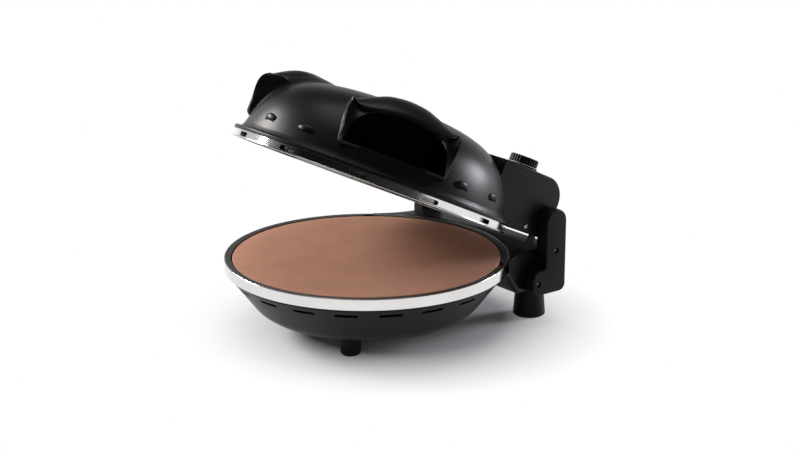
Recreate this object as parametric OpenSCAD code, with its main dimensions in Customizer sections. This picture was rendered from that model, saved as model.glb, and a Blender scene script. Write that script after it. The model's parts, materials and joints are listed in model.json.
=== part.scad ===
// Electric pizza oven with a hinged lid, shown with the lid part open.
// Front is -Y, hinge is at the back (+Y), +Z is up, and the footprint is centred on the origin.

/* [Base] */
// Width from the baking stone's edge to the outside of the steel band
rim_w = 10; // [9:0.5:14]
// Height of the band's top edge above the table
ring_z = 94; // [90:1:110]
// Height of the steel band
band_h = 13.5; // [10:0.5:16]
// Height of the flat underside of the bowl above the table
bowl_z = 22; // [18:0.5:26]
// Wall thickness of the plastic mouldings
shell_t = 3; // [2.5:0.1:3.5]
// Height of the neck's underside above the table
neck_z = 39.5; // [36:0.5:44]
// Distance of the hinge arms' inner faces in from the side of the band
neck_in = 61.5; // [56:0.5:68]
// Length of a vent slot under the band
base_vent_len = 28; // [18:1:34]
// Height of a vent slot under the band
base_vent_h = 4; // [3:0.5:5]

/* [Stone] */
// Diameter of the baking stone
stone_d = 330; // [300:1:360]
// Thickness of the baking stone
stone_t = 12; // [8:0.5:13]

/* [Hinge] */
// Distance of the hinge axis behind the band
pivot_back = 19; // [17:0.5:25]
// Height of the hinge axis above the table
pivot_z = 130; // [126:1:138]
// Angle at which the lid stands open
lid_open = 25.5; // [0:0.5:80]
// Front to back width of a hinge arm
arm_w = 32; // [28:1:36]
// Thickness of a hinge arm
arm_t = 19.5; // [16:0.5:24]
// Diameter of the hinge pins
pin_d = 10; // [8:0.5:12]

/* [Lid] */
// Height of the dome above the lid's rim
dome_h = 103; // [96:1:112]
// Half width of the arched hoods at their front
hood_w = 62; // [56:0.5:64]
// Angle of each hood's middle from the front of the lid
hood_az = 56.5; // [54:0.5:60]
// Height of the hood's crest above the lid's rim
hood_crest = 105.5; // [103:0.5:110]
// Height of the arched recess's sill above the lid's rim
arch_z = 36; // [35:0.5:40]
// Height of the arched recess at its middle
arch_h = 46.5; // [40:0.5:48]
// Length of a slot in the lid's steel band
band_slot_len = 22; // [16:1:28]
// Height of a slot in the lid's steel band
band_slot_h = 5.6; // [4:0.2:6]

/* [Housing] */
// Height of the rear housing's top above the lid's rim
housing_h = 85; // [80:1:88]
// Distance of the rear housing's back face behind the hinge axis
housing_back = 12; // [9:1:18]
// Radius of the rear housing's upper back edge
housing_r = 28; // [20:1:34]

/* [Controls] */
// Diameter of the temperature knob
knob_d = 36; // [30:1:40]
// Height of the temperature knob
knob_h = 12; // [10:0.5:16]
// Distance of the knob's middle in from the hinge arm on the right
knob_in = 43.5; // [36:0.5:60]
// Number of grip flutes round the knob
knob_flutes = 28; // [20:1:32]

/* [Heating] */
// Diameter of the heating elements' tube
tube_d = 6.5; // [6:0.5:8]
// Distance of the lower element's loop in from the band
lower_loop_in = 60; // [54:1:75]
// Distance of the upper element's loop in from the band
upper_loop_in = 65; // [58:1:80]

/* [Feet] */
// Diameter of a front foot at the table
front_foot_d = 24; // [20:1:30]
// Diameter of a rear foot at the table
rear_foot_d = 41; // [34:1:44]

/* [Hidden] */
$fn = 96;

// Gap between pieces that sit against curved faces
fit_gap = 0.3;
// Radial clearance of a shaft or a pin in its hole
run_gap = 0.05;
// Cutting tools reach this far past a face
over = 1;

// The base is laid out from the stone's radius, through the outer radius of the steel band
stone_r = stone_d / 2;
ring_r = stone_r + rim_w;
neck_x = ring_r - neck_in;
pivot_y = ring_r + pivot_back;
housing_y = pivot_y + housing_back;
knob_x = neck_x - knob_in;
lower_loop_r = ring_r - lower_loop_in;
upper_loop_r = ring_r - upper_loop_in;
band_t = 1.2;
sheet_t = 1.2;

// The bowl stands in from the band by this much
bowl_step = 4;
bowl_r = ring_r - bowl_step;
band_z = ring_z - band_h;
// Rounding between the bowl's sloping wall and its flat underside
bowl_round = 45;
bowl_slope = 55;
// Half the bowl's flat underside, found where the sloping wall would meet it
bowl_flat_r = bowl_r - (band_z - bowl_z) / tan(bowl_slope) - bowl_round * tan(bowl_slope / 2);
vent_z = ring_z - 24;
vent_pitch = 18;
vent_count = 14;
vent_depth = 24;
// Opening in the bowl's underside that the bottom cover closes
cover_r = ring_r - 115;
cover_lap = 8;
cover_slot_w = 4;
cover_slots = 7;

// The rim carries the stone on an inner ledge
lip_w = 2.3;
rim_out_r = ring_r - band_t - lip_w - fit_gap;
rim_in_r = stone_r + 1.5;
stone_drop = 0.5;
ledge_z = ring_z - stone_drop - stone_t;
ledge_w = 11;
rim_t = 1.5;
notch_az = 128;
notch_r = 9;

// The neck reaches back from the bowl and carries the hinge arms
neck_back_y = pivot_y + arm_w / 2 - 3;
arm_front_y = pivot_y - arm_w / 2;
arm_top_r = arm_w / 2;
boot_len = 21;
boot_h = 31;
boot_y = arm_front_y - boot_len;
// Each side of the neck leaves the band at a shoulder and sweeps in to its width
shoulder_r = ring_r + 2.5;
shoulder_az = 50.5;
blend_r = (shoulder_r * sin(shoulder_az) - neck_x) / (1 - sin(shoulder_az));
blend_x = neck_x + blend_r;
blend_y = (shoulder_r + blend_r) * cos(shoulder_az);
shoulder_x = shoulder_r * sin(shoulder_az);
shoulder_y = shoulder_r * cos(shoulder_az);
deck_t = 2.5;
deck_z = ring_z - deck_t;
// The neck is hollow from here to its back wall
neck_hollow_y = ring_r - 115;
neck_front_y = shoulder_y - 4;
neck_foot_y = boot_y - 6;
gland_x = 43.5 - neck_x;
gland_z = 62;
gland_r = 7.5;
gland_bore_r = 3.6;
gland_tail = 3;
block_size = [44, 18, 14];
block_y = neck_back_y - 26;

screw_hole_r = 3.8;
screw_head_r = 3.5;
screw_shank_r = 1.8;
screw_sink = 5;
// Each arm screw's place behind the middle and above the table, and its shank's length
screw_head_h = 2.4;
pan_head_h = 1.8;
leg_screw = [pivot_y, pivot_z - 37, arm_t - screw_sink - 4];
boot_screw = [boot_y + 9, neck_z + 15, arm_t - screw_sink + shell_t];

pin_r = pin_d / 2;
pin_seat = 13;
bush_t = 3;
bush_len = 13;
hinge_gap = 0.5;
housing_x = neck_x - hinge_gap;

// The lid's rim plane when the lid is closed
lid_gap = 0.5;
lid_z = ring_z + lid_gap;
lid_lip_r = ring_r + 3;
lid_band_r = ring_r - 1;
lid_band_h = 10;
brim_r = ring_r + 2;
brim_h = 5;
brim_z = lid_band_h;
dome_r = ring_r - 7;
dome_z = brim_z + brim_h + 1;
lid_slot_pitch = 30;
scoop_z = 30;
scoop_len = 20;
scoop_h = 4;
scoop_depth = 16;
scoop_az = [13, 91, 117];

hood_d = ring_r - 17;
hood_z = arch_z - 2;
// Each hood grows wider by this share of the distance behind its front
hood_splay = 0.3;
// The upper corners and the crest's middle lie this far behind the front
corner_back = 12.5;
crest_back = 40;
crest_drop = 17.5;
visor_sag = 4;
hollow_depth = 4.5;
arch_w = hood_w - 1;
arch_power = 2.6;
hood_steps = 20;
recess_depth = 46;
recess_d = hood_d - recess_depth;
pocket_t = 2.5;
panel_t = 2;

housing_z = 10;
housing_side_t = bush_len;
housing_front_y = ring_r - 79;
floor_t = 2.5;
floor_y = brim_r + 3;
floor_len = housing_y - shell_t - 2 - floor_y;
floor_slot_w = 4;
floor_slots = 11;
bumper_r = 4.5;
bumper_y = floor_y + 7;
// Passage for wires between the lid and the housing
gate_w = 60;
gate_z0 = brim_z + brim_h + 8;
gate_z1 = housing_h - 12;

knob_y = pivot_y - 29;
dial_h = 2;
shaft_r = 3;
knob_gap = 0.3;
thermo_r = 11;
thermo_h = 15;
bracket_t = 1.5;
bracket_size = [32, 24];
tag_size = [6, 0.8, 8];

tube_r = tube_d / 2;
// Height of the base pan's floor, and the place of its posts
pan_z = 60;
pan_t = 1;
pan_floor_r = ring_r - 37;
pan_flange = 12;
pan_rim_r = rim_in_r - 1;
post_r = 4.5;
post_hole_r = 1.6;
base_post_r = ring_r - 95;
pan_screw_len = 12;
post_bore = 16;
lower_tube_z = pan_z + pan_t + 8;
lower_end_drop = 18;
upper_end_drop = 22;
element_half_gap = 12;
terminal_r = tube_r + 1.5;
clip_w = 8;
clip_t = 5;
lid_pan_z = 30;
upper_tube_z = 17.5;
lid_post_x = ring_r - 120;
lid_post_xy = [[lid_post_x, ring_r - 115], [-lid_post_x, ring_r - 115],
    [lid_post_x, 135 - ring_r], [-lid_post_x, 135 - ring_r]];

foot_pad_h = 3;
pad_sink = 1.5;
front_foot = [ring_r - 107, 100 - ring_r];
rear_foot = [neck_x - 23.5, pivot_y - 5];
foot_flare = 1.5;

// How far the opened housing reaches behind the hinge axis
back_reach = (housing_y - housing_r - pivot_y) * cos(lid_open)
    + (lid_z + housing_h - housing_r - pivot_z) * sin(lid_open) + housing_r;
middle_y = (ring_r - pivot_y - max(back_reach, arm_w / 2)) / 2;

// Places what follows in the frame that is centred on the footprint
module placed() {
    translate([0, middle_y, 0]) children();
}

// Swings what is drawn closed, with z = 0 at the lid's rim, to the opened lid
module lid_pose() {
    placed() translate([0, pivot_y, pivot_z]) rotate([-lid_open, 0, 0])
        translate([0, -pivot_y, lid_z - pivot_z]) children();
}

// Turns to an angle from the front, positive towards the right
module at_azimuth(angle) {
    rotate([0, 0, angle - 90]) children();
}

module mirrored() {
    children();
    mirror([1, 0, 0]) children();
}

module lathe(profile) {
    rotate_extrude($fn = 180) polygon(profile);
}

module rounded_plate(w, h, r) {
    square([w - 2 * r, h], center = true);
    square([w, h - 2 * r], center = true);
    for (x = [-1, 1], y = [-1, 1])
        translate([x * (w / 2 - r), y * (h / 2 - r)]) circle(r, $fn = 32);
}

// A slot with round ends that is cut inwards from radius r
module radial_slot(r, z, len, h, depth) {
    translate([r - depth, 0, z]) rotate([90, 0, 90]) linear_extrude(depth + 20)
        rounded_plate(len, h, h / 2 - 0.01);
}

function arc(c, r, a0, a1, n) =
    [for (i = [0 : n]) let (a = a0 + (a1 - a0) * i / n) c + r * [cos(a), sin(a)]];

function bezier(p, n) =
    [for (i = [0 : n]) let (u = i / n, v = 1 - u)
        v * v * v * p[0] + 3 * u * v * v * p[1] + 3 * u * u * v * p[2] + u * u * u * p[3]];

// The bowl's outline from its flat underside to below the band, set in by an inset
function bowl_outline(inset) =
    concat(arc([bowl_flat_r, bowl_z + bowl_round], bowl_round - inset, -90, bowl_slope - 90, 8),
        [[bowl_r - inset / sin(bowl_slope), band_z - 0.3]]);

module bowl_solid(inset, top) {
    lathe(concat([[0, bowl_z + inset]], bowl_outline(inset),
        [[bowl_r - inset / sin(bowl_slope), top], [0, top]]));
}

// Plan of the neck, whose sides sweep in from the shoulders
module neck_plan(inset) {
    difference() {
        translate([-shoulder_x, 0]) square([2 * shoulder_x, neck_back_y - inset]);
        for (side = [-1, 1]) {
            translate([side * blend_x, blend_y]) circle(blend_r + inset, $fn = 180);
            translate([side * (neck_x - inset + ring_r / 2), boot_y - fit_gap + ring_r / 2])
                square(ring_r, center = true);
        }
    }
}

// Side view of the neck: its underside rises forwards along the bowl
module neck_side(inset, top) {
    translate([-ring_r, 0, 0]) rotate([90, 0, 90]) linear_extrude(2 * ring_r)
        polygon([[neck_front_y + inset, band_z], [neck_foot_y + inset, neck_z + inset],
            [neck_back_y - inset, neck_z + inset], [neck_back_y - inset, top],
            [neck_front_y + inset, top]]);
}

module base_shell() {
    ledge_r = ring_r - band_t - fit_gap;
    color("#1c1c1e") placed() difference() {
        union() {
            bowl_solid(0, band_z);
            lathe([[0, band_z - 1], [bowl_r, band_z - 1], [ledge_r, band_z - fit_gap],
                [ledge_r, deck_z], [0, deck_z]]);
            intersection() {
                linear_extrude(deck_z) neck_plan(0);
                neck_side(0, deck_z);
            }
        }
        difference() {
            union() {
                bowl_solid(shell_t, deck_z + over);
                translate([0, 0, ledge_z - rim_t - fit_gap])
                    cylinder(r = rim_in_r + rim_t + fit_gap, h = ring_z - ledge_z, $fn = 180);
                intersection() {
                    linear_extrude(deck_z + over) neck_plan(shell_t);
                    neck_side(shell_t, deck_z + over);
                    translate([-neck_x + shell_t, neck_hollow_y, 0])
                        cube([2 * (neck_x - shell_t), neck_back_y, ring_z]);
                }
            }
            for (a = [45 : 90 : 315]) rotate([0, 0, a]) translate([base_post_r, 0, 0])
                cylinder(r = post_r, h = pan_z);
        }
        lathe([[ledge_r, band_z - fit_gap], [ring_r + fit_gap, band_z - fit_gap],
            [ring_r + fit_gap, deck_z + over], [ledge_r, deck_z + over]]);
        translate([0, 0, bowl_z - over]) cylinder(r = cover_r, h = shell_t + 2 * over);
        for (a = [45 : 90 : 315]) rotate([0, 0, a]) translate([base_post_r, 0, pan_z - post_bore])
            cylinder(r = post_hole_r, h = post_bore + over);
        for (i = [0 : vent_count - 1]) at_azimuth((i - (vent_count - 1) / 2) * vent_pitch)
            radial_slot(bowl_r, vent_z, base_vent_len, base_vent_h, vent_depth);
        translate([gland_x, neck_back_y + over, gland_z]) rotate([90, 0, 0])
            cylinder(r = gland_r + run_gap, h = shell_t + 2 * over);
        for (side = [-1, 1]) translate([side * (neck_x + over), boot_screw[0], boot_screw[1]])
            rotate([0, -90 * side, 0])
                cylinder(r = screw_shank_r + run_gap, h = shell_t + over + 2);
    }
}

module bottom_cover() {
    color("#202022") placed() difference() {
        union() {
            translate([0, 0, bowl_z]) cylinder(r = cover_r - fit_gap, h = shell_t);
            translate([0, 0, bowl_z + shell_t]) cylinder(r = cover_r + cover_lap, h = 2);
        }
        for (i = [0 : cover_slots - 1])
            translate([(i - (cover_slots - 1) / 2) * cover_r / 6, 0, bowl_z - over])
                linear_extrude(shell_t + 2 + 2 * over)
                    rounded_plate(cover_slot_w, cover_r, cover_slot_w / 2 - 0.01);
    }
}

module base_trim_band() {
    color("#c9c9c7") placed()
        lathe([[ring_r - band_t, band_z], [ring_r, band_z], [ring_r, ring_z],
            [ring_r - band_t - lip_w, ring_z], [ring_r - band_t - lip_w, ring_z - sheet_t],
            [ring_r - band_t, ring_z - sheet_t]]);
}

module stone_rim() {
    color("#3b3b3d") placed() difference() {
        lathe([[rim_in_r - ledge_w, ledge_z - rim_t], [rim_in_r + rim_t, ledge_z - rim_t],
            [rim_in_r + rim_t, deck_z], [rim_out_r, deck_z], [rim_out_r, ring_z],
            [rim_in_r, ring_z], [rim_in_r, ledge_z], [rim_in_r - ledge_w, ledge_z]]);
        notches(rim_in_r + 2.5, ring_z - 6);
    }
}

// Finger notches beside the neck, where the stone is lifted out
module notches(r, z) {
    for (side = [-1, 1]) at_azimuth(side * notch_az)
        translate([r - 6, 0, z]) cylinder(r = notch_r, h = 10);
}

module pizza_stone() {
    color("#a5705a") placed() translate([0, 0, ledge_z + 0.02]) {
        lathe([[0, 0], [stone_r - 1, 0], [stone_r, 1], [stone_r, stone_t - 1.5],
            [stone_r - 1.5, stone_t], [0, stone_t]]);
    }
}

module base_reflector() {
    color("#b9b9b4") placed() difference() {
        lathe([[0, pan_z], [pan_floor_r, pan_z], [pan_rim_r - pan_flange, ledge_z - rim_t - pan_t],
            [pan_rim_r, ledge_z - rim_t - pan_t], [pan_rim_r, ledge_z - rim_t],
            [pan_rim_r - pan_flange - pan_t, ledge_z - rim_t],
            [pan_floor_r - pan_t, pan_z + pan_t],
            [0, pan_z + pan_t]]);
        end = end_place(lower_loop_r);
        for (side = [-1, 1]) translate([side * end[0], end[1], pan_z - over])
            cylinder(r = terminal_r + 1, h = 4);
        for (a = [45 : 90 : 315]) rotate([0, 0, a]) translate([base_post_r, 0, pan_z - over])
            cylinder(r = post_hole_r + 0.2, h = 4);
    }
}

// A pan-head screw that points down from z = 0
module pan_screw(head_r, head_h, shank_r, len) {
    cylinder(r = head_r, h = head_h);
    translate([0, 0, -len]) cylinder(r = shank_r, h = len);
}

module reflector_screws_base() {
    color("#8f8f8d") placed() for (a = [45 : 90 : 315]) rotate([0, 0, a])
        translate([base_post_r, 0, pan_z + pan_t])
            pan_screw(screw_head_r, pan_head_h, post_hole_r - run_gap, pan_screw_len);
}

// The place of an element's terminal post on the right
function end_place(loop_r) = let (a = asin(element_half_gap / loop_r))
    [loop_r * sin(a), loop_r * cos(a)];

// A loop of tube, open at the back, whose two ends stand in terminal posts
module element_loop(loop_r, drop) {
    a = asin(element_half_gap / loop_r);
    end = end_place(loop_r);
    rotate([0, 0, 90 + a]) rotate_extrude(angle = 360 - 2 * a, $fn = 120)
        translate([loop_r, 0]) circle(tube_r, $fn = 32);
    mirrored() translate([end[0], end[1], -drop])
        cylinder(r = terminal_r, h = drop + tube_r + 1, $fn = 32);
}

module lower_heating_element() {
    color("#5c5a58") placed() translate([0, 0, lower_tube_z]) 
        element_loop(lower_loop_r, lower_end_drop);
}

module element_clip(loop_r, reach) {
    difference() {
        translate([loop_r - clip_w / 2, -clip_t / 2, -reach]) cube([clip_w, clip_t, reach + 1]);
        translate([loop_r, clip_t, 0]) rotate([90, 0, 0])
            cylinder(r = tube_r + run_gap, h = 2 * clip_t, $fn = 48);
    }
}

module lower_element_clips() {
    color("#9a9a97") placed() translate([0, 0, lower_tube_z])
        for (a = [-30, 90, 210]) rotate([0, 0, a - 60])
            element_clip(lower_loop_r, lower_tube_z - pan_z - pan_t);
}

module terminal_block() {
    color("#d8d4c8") placed() translate([0, block_y, neck_z + shell_t]) difference() {
        translate([-block_size[0] / 2, -block_size[1] / 2, 0]) cube(block_size);
        for (i = [-1 : 1]) translate([i * block_size[0] / 3, 0, 6])
            cylinder(r = 2.5, h = block_size[2]);
    }
}

module cord_gland() {
    color("#151515") placed() translate([gland_x, neck_back_y, gland_z]) rotate([-90, 0, 0])
        difference() {
            union() {
                translate([0, 0, -shell_t - gland_tail]) cylinder(r = gland_r, h = shell_t + gland_tail);
                cylinder(r = gland_r + 2.5, h = 2);
            }
            translate([0, 0, -shell_t - gland_tail - over])
                cylinder(r = gland_bore_r, h = shell_t + gland_tail + 2 + 2 * over);
        }
}

module rear_deck() {
    color("#19191b") placed() translate([0, 0, deck_z]) linear_extrude(deck_t) difference() {
        neck_plan(0);
        circle(ring_r + fit_gap, $fn = 180);
    }
}

module foot(at, bottom_r, top_r, top_z) {
    translate([at[0], at[1], 0]) difference() {
        translate([0, 0, foot_pad_h - pad_sink])
            cylinder(r1 = bottom_r, r2 = top_r, h = top_z - foot_pad_h + pad_sink);
        cylinder(r = bottom_r - 2 + run_gap, h = foot_pad_h);
    }
}

module front_feet() {
    color("#141415") placed() mirrored() difference() {
        foot(front_foot, front_foot_d / 2, front_foot_d / 2 + foot_flare, bowl_z + 6);
        translate([0, 0, -0.2]) bowl_solid(0, band_z);
    }
}

module rear_feet() {
    color("#141415") placed() mirrored()
        foot(rear_foot, rear_foot_d / 2, rear_foot_d / 2 - 2 * foot_flare, neck_z);
}

module foot_pads() {
    color("#2a2a2a") placed() mirrored() {
        translate([front_foot[0], front_foot[1], 0])
            cylinder(r = front_foot_d / 2 - 2, h = foot_pad_h);
        translate([rear_foot[0], rear_foot[1], 0])
            cylinder(r = rear_foot_d / 2 - 2, h = foot_pad_h);
    }
}

// Side view of a hinge arm: a leg with a round top and a boot that reaches forwards
module arm_side() {
    toe_r = 12;
    heel_r = 9;
    crook_r = 7;
    translate([pivot_y, pivot_z]) circle(arm_top_r);
    translate([arm_front_y, neck_z + heel_r]) square([arm_w, pivot_z - neck_z - heel_r]);
    translate([boot_y + toe_r, neck_z]) square([boot_len + arm_w - toe_r - heel_r, boot_h]);
    translate([boot_y, neck_z + toe_r]) square([toe_r + 1, boot_h - 2 * toe_r]);
    translate([boot_y + toe_r, neck_z + toe_r]) circle(toe_r);
    translate([boot_y + toe_r, neck_z + boot_h - toe_r]) circle(toe_r);
    translate([pivot_y + arm_w / 2 - heel_r, neck_z + heel_r]) circle(heel_r);
    translate([arm_front_y, neck_z + boot_h]) difference() {
        translate([-crook_r, -over]) square([crook_r + over, crook_r + over]);
        translate([-crook_r, crook_r]) circle(crook_r);
    }
}

module hinge_arm() {
    difference() {
        translate([neck_x, 0, 0]) rotate([90, 0, 90]) linear_extrude(arm_t) arm_side();
        translate([neck_x - over, pivot_y, pivot_z]) rotate([0, 90, 0])
            cylinder(r = pin_r + run_gap, h = pin_seat + over);
        for (at = [leg_screw, boot_screw])
            translate([neck_x + arm_t - screw_sink, at[0], at[1]]) rotate([0, 90, 0]) {
                cylinder(r = screw_hole_r, h = screw_sink + over);
                translate([0, 0, -at[2] - over])
                    cylinder(r = screw_shank_r + run_gap, h = at[2] + 2 * over);
            }
    }
}

module hinge_arm_right() {
    color("#1a191b") placed() hinge_arm();
}

module hinge_arm_left() {
    color("#1a191b") placed() mirror([1, 0, 0]) hinge_arm();
}

module arm_screws() {
    color("#77777a") placed() mirrored() for (at = [leg_screw, boot_screw])
        translate([neck_x + arm_t - screw_sink, at[0], at[1]]) rotate([0, 90, 0]) difference() {
            pan_screw(screw_head_r, screw_head_h, screw_shank_r, at[2]);
            translate([0, 0, screw_head_h / 2]) linear_extrude(screw_head_h) {
                square([4, 1], center = true);
                square([1, 4], center = true);
            }
        }
}

module hinge_pins() {
    color("#b0b0ae") placed() mirrored() translate([housing_x - bush_len, pivot_y, pivot_z])
        rotate([0, 90, 0]) cylinder(r = pin_r, h = bush_len + hinge_gap + pin_seat - fit_gap);
}

// The dome's outline above its brim, set in by an inset
function dome_outline(inset) = bezier([[dome_r - inset, dome_z],
    [dome_r - 17 - inset, dome_h * 0.825 - inset], [dome_r - 48 - inset, dome_h - inset],
    [0, dome_h - inset]], 22);

module dome_solid(inset, bottom) {
    lathe(concat([[0, bottom], [dome_r - inset, bottom]], dome_outline(inset)));
}

module dome_with_brim(grow) {
    top = brim_z + brim_h + grow;
    dome_solid(-grow, brim_z);
    lathe([[0, brim_z - grow], [brim_r + grow, brim_z - grow], [brim_r + grow, top],
        [dome_r + 3 + grow, top + 0.01], [dome_r + grow, dome_z + 1 + grow],
        [0, dome_z + 1 + grow]]);
}

// One section of a hood, from its front foot over the visor and the crest to the dome, at a
// share s of the half width; each point is its distance from the lid's middle and its height
function hood_section(s) =
    let (q = s * s,
        front_d = hood_d - corner_back * pow(q, 6),
        front_z = arch_z + arch_h + 1.6 - 4 * visor_sag * q * (1 - q),
        crest_d = hood_d - crest_back + (crest_back - corner_back) * pow(q, 1.25),
        crest_z = hood_crest - crest_drop * q,
        cheek = [for (k = [0.45, 0.7, 0.9]) let (z = arch_z + k * (front_z - arch_z))
            [hood_d - (hood_d - front_d) * pow(k, 4) - hollow_depth * cheek_hollow(s, k), z]],
        visor = bezier([[front_d, front_z], [front_d, front_z + 5 - 4 * q],
            [crest_d + 16 * (1 - q), crest_z], [crest_d, crest_z]], 6),
        back = bezier([[crest_d, crest_z], [crest_d - 14, crest_z],
            [crest_d - 24 - 10 * q, dome_h - 2 - 16 * q],
            [crest_d - 40 - 10 * q, dome_h - 6 - 20 * q]], 6))
    concat([[hood_d, hood_z]], cheek, visor, [for (i = [1 : 6]) back[i]],
        [[crest_d - 40 - 10 * q, hood_z]]);

// How hollow a cheek is between the arch's edge and the hood's side, at a share k of its height
function cheek_hollow(s, k) = let (edge = pow(max(0, 1 - pow(k, arch_power)), 1 / arch_power),
    u = (s - edge) / (1 - edge)) u > 0 ? 4 * u * (1 - u) : 0;

module hood_solid() {
    rows = [for (i = [0 : hood_steps]) let (s = 2 * i / hood_steps - 1)
        [for (p = hood_section(abs(s)))
            [p[0], s * (hood_w + hood_splay * (hood_d - p[0])), p[1]]]];
    n = len(rows[0]);
    points = [for (row = rows) for (p = row) p];
    skin = [for (i = [0 : hood_steps - 1], j = [0 : n - 1]) let (k = (j + 1) % n)
        each [[i * n + j, i * n + k, (i + 1) * n + k], [i * n + j, (i + 1) * n + k, (i + 1) * n + j]]];
    ends = [[for (j = [n - 1 : -1 : 0]) j], [for (j = [0 : n - 1]) hood_steps * n + j]];
    polyhedron(points, concat(skin, ends));
}

// Outline of the arched recess, a flattened round arch on a level sill
function arch_outline(grow) =
    [for (i = [0 : 24]) let (a = 180 * i / 24, c = cos(a), s = sin(a), p = 2 / arch_power)
        [sign(c) * (arch_w + grow) * pow(abs(c), p), arch_z - grow + (arch_h + 2 * grow) * pow(s, p)]];

module arch_block(grow, d0, d1) {
    translate([d0, 0, 0]) rotate([90, 0, 90]) linear_extrude(d1 - d0) polygon(arch_outline(grow));
}

module lid_shell() {
    color("#232325") lid_pose() difference() {
        union() {
            difference() {
                union() {
                    dome_with_brim(0);
                    for (side = [-1, 1]) at_azimuth(side * hood_az) hood_solid();
                }
                dome_solid(shell_t, brim_z - over);
                translate([0, 0, brim_z - over]) cylinder(r = dome_r + 0.5, h = brim_h, $fn = 180);
            }
            intersection() {
                union() {
                    for (side = [-1, 1]) at_azimuth(side * hood_az)
                        arch_block(pocket_t, recess_d - pocket_t, hood_d);
                    for (at = lid_post_xy) translate([at[0], at[1], lid_pan_z + pan_t])
                        cylinder(r = post_r, h = dome_h, $fn = 48);
                }
                dome_solid(shell_t / 2, brim_z);
            }
        }
        for (side = [-1, 1]) at_azimuth(side * hood_az) arch_block(0, recess_d, hood_d + 30);
        for (at = lid_post_xy) translate([at[0], at[1], lid_pan_z + pan_t - over])
            cylinder(r = post_hole_r, h = post_bore, $fn = 32);
        for (a = scoop_az, side = [-1, 1]) at_azimuth(side * a)
            radial_slot(dome_r, scoop_z, scoop_len, scoop_h, scoop_depth);
        translate([-gate_w / 2, 0, gate_z0]) cube([gate_w, pivot_y, gate_z1 - gate_z0]);
    }
}

module lid_trim_band() {
    color("#c4c3c1") lid_pose() difference() {
        lathe([[rim_in_r + 2, 0], [lid_lip_r, 0], [lid_lip_r, sheet_t], [lid_band_r, sheet_t],
            [lid_band_r, lid_band_h], [dome_r + 2, lid_band_h], [dome_r + 2, lid_band_h - sheet_t],
            [lid_band_r - sheet_t, lid_band_h - sheet_t], [lid_band_r - sheet_t, sheet_t],
            [rim_in_r + 2, sheet_t]]);
        for (i = [0 : 360 / lid_slot_pitch - 1]) at_azimuth((i + 0.5) * lid_slot_pitch)
            radial_slot(lid_band_r, lid_band_h / 2, band_slot_len, band_slot_h, 3);
    }
}

module arch_panel(side) {
    at_azimuth(side * hood_az) arch_block(-fit_gap, recess_d, recess_d + panel_t);
}

module arch_panel_right() {
    color("#0b0b0c") lid_pose() arch_panel(1);
}

module arch_panel_left() {
    color("#0b0b0c") lid_pose() arch_panel(-1);
}

// Side view of the rear housing, set in by an inset
module housing_side(inset, front) {
    r = housing_r - inset;
    y = housing_y - inset;
    top = housing_h - inset;
    foot_r = 5;
    translate([front, housing_z + inset + foot_r])
        square([y - front, top - r - housing_z - inset - foot_r]);
    translate([front, housing_z + inset]) square([y - foot_r - front, foot_r + 1]);
    translate([y - foot_r, housing_z + inset + foot_r]) circle(foot_r, $fn = 48);
    translate([front, top - r - 1]) square([y - r - front, r + 1]);
    translate([y - r, top - r]) circle(r);
}

module housing_block(inset, half_w, front) {
    translate([-half_w, 0, 0]) rotate([90, 0, 90]) linear_extrude(2 * half_w)
        housing_side(inset, front);
}

module rear_housing() {
    color("#2b2b2e") lid_pose() difference() {
        housing_block(0, housing_x, housing_front_y);
        dome_with_brim(fit_gap);
        housing_block(shell_t, housing_x - housing_side_t, housing_front_y - over);
        translate([-housing_x + housing_side_t, floor_y, housing_z - over])
            cube([2 * (housing_x - housing_side_t), floor_len, shell_t + 2 * over]);
        for (side = [-1, 1]) {
            translate([side * (housing_x + over), pivot_y, pivot_z - lid_z])
                rotate([0, -90 * side, 0])
                    cylinder(r = pin_r + bush_t + run_gap, h = bush_len + 2 * over);
            translate([side * (housing_x + over), knob_y, housing_z + 8])
                rotate([0, -90 * side, 0]) cylinder(r = screw_shank_r + run_gap, h = 12);
        }
        translate([knob_x, knob_y, housing_h - shell_t - over])
            cylinder(r = shaft_r + 0.5, h = shell_t + 2 * over);
    }
}

module housing_floor() {
    inner_x = housing_x - housing_side_t - fit_gap;
    color("#1d1d1f") lid_pose() difference() {
        translate([-inner_x, floor_y + fit_gap, housing_z])
            cube([2 * inner_x, floor_len - 2 * fit_gap, floor_t]);
        for (i = [0 : floor_slots - 1])
            translate([(i - (floor_slots - 1) / 2) * 3 * floor_slot_w, floor_y + floor_len / 2,
                housing_z - over])
                linear_extrude(floor_t + 2 * over)
                    rounded_plate(floor_slot_w, floor_len * 2 / 3, floor_slot_w / 2 - 0.01);
    }
}

module housing_screws() {
    color("#77777a") lid_pose() mirrored()
        translate([housing_x, knob_y, housing_z + 8]) rotate([0, 90, 0])
            pan_screw(screw_head_r, pan_head_h, screw_shank_r, bush_len - 4);
}

module hinge_bushes() {
    color("#cfc7a8") lid_pose() mirrored()
        translate([housing_x - bush_len, pivot_y, pivot_z - lid_z]) rotate([0, 90, 0])
            difference() {
                cylinder(r = pin_r + bush_t, h = bush_len);
                translate([0, 0, -over]) cylinder(r = pin_r + run_gap, h = bush_len + 2 * over);
            }
}

module lid_bumpers() {
    color("#303032") lid_pose() mirrored()
        translate([housing_x - housing_side_t / 2, bumper_y, -lid_gap + fit_gap])
            cylinder(r = bumper_r, h = housing_z + lid_gap - fit_gap);
}

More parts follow.
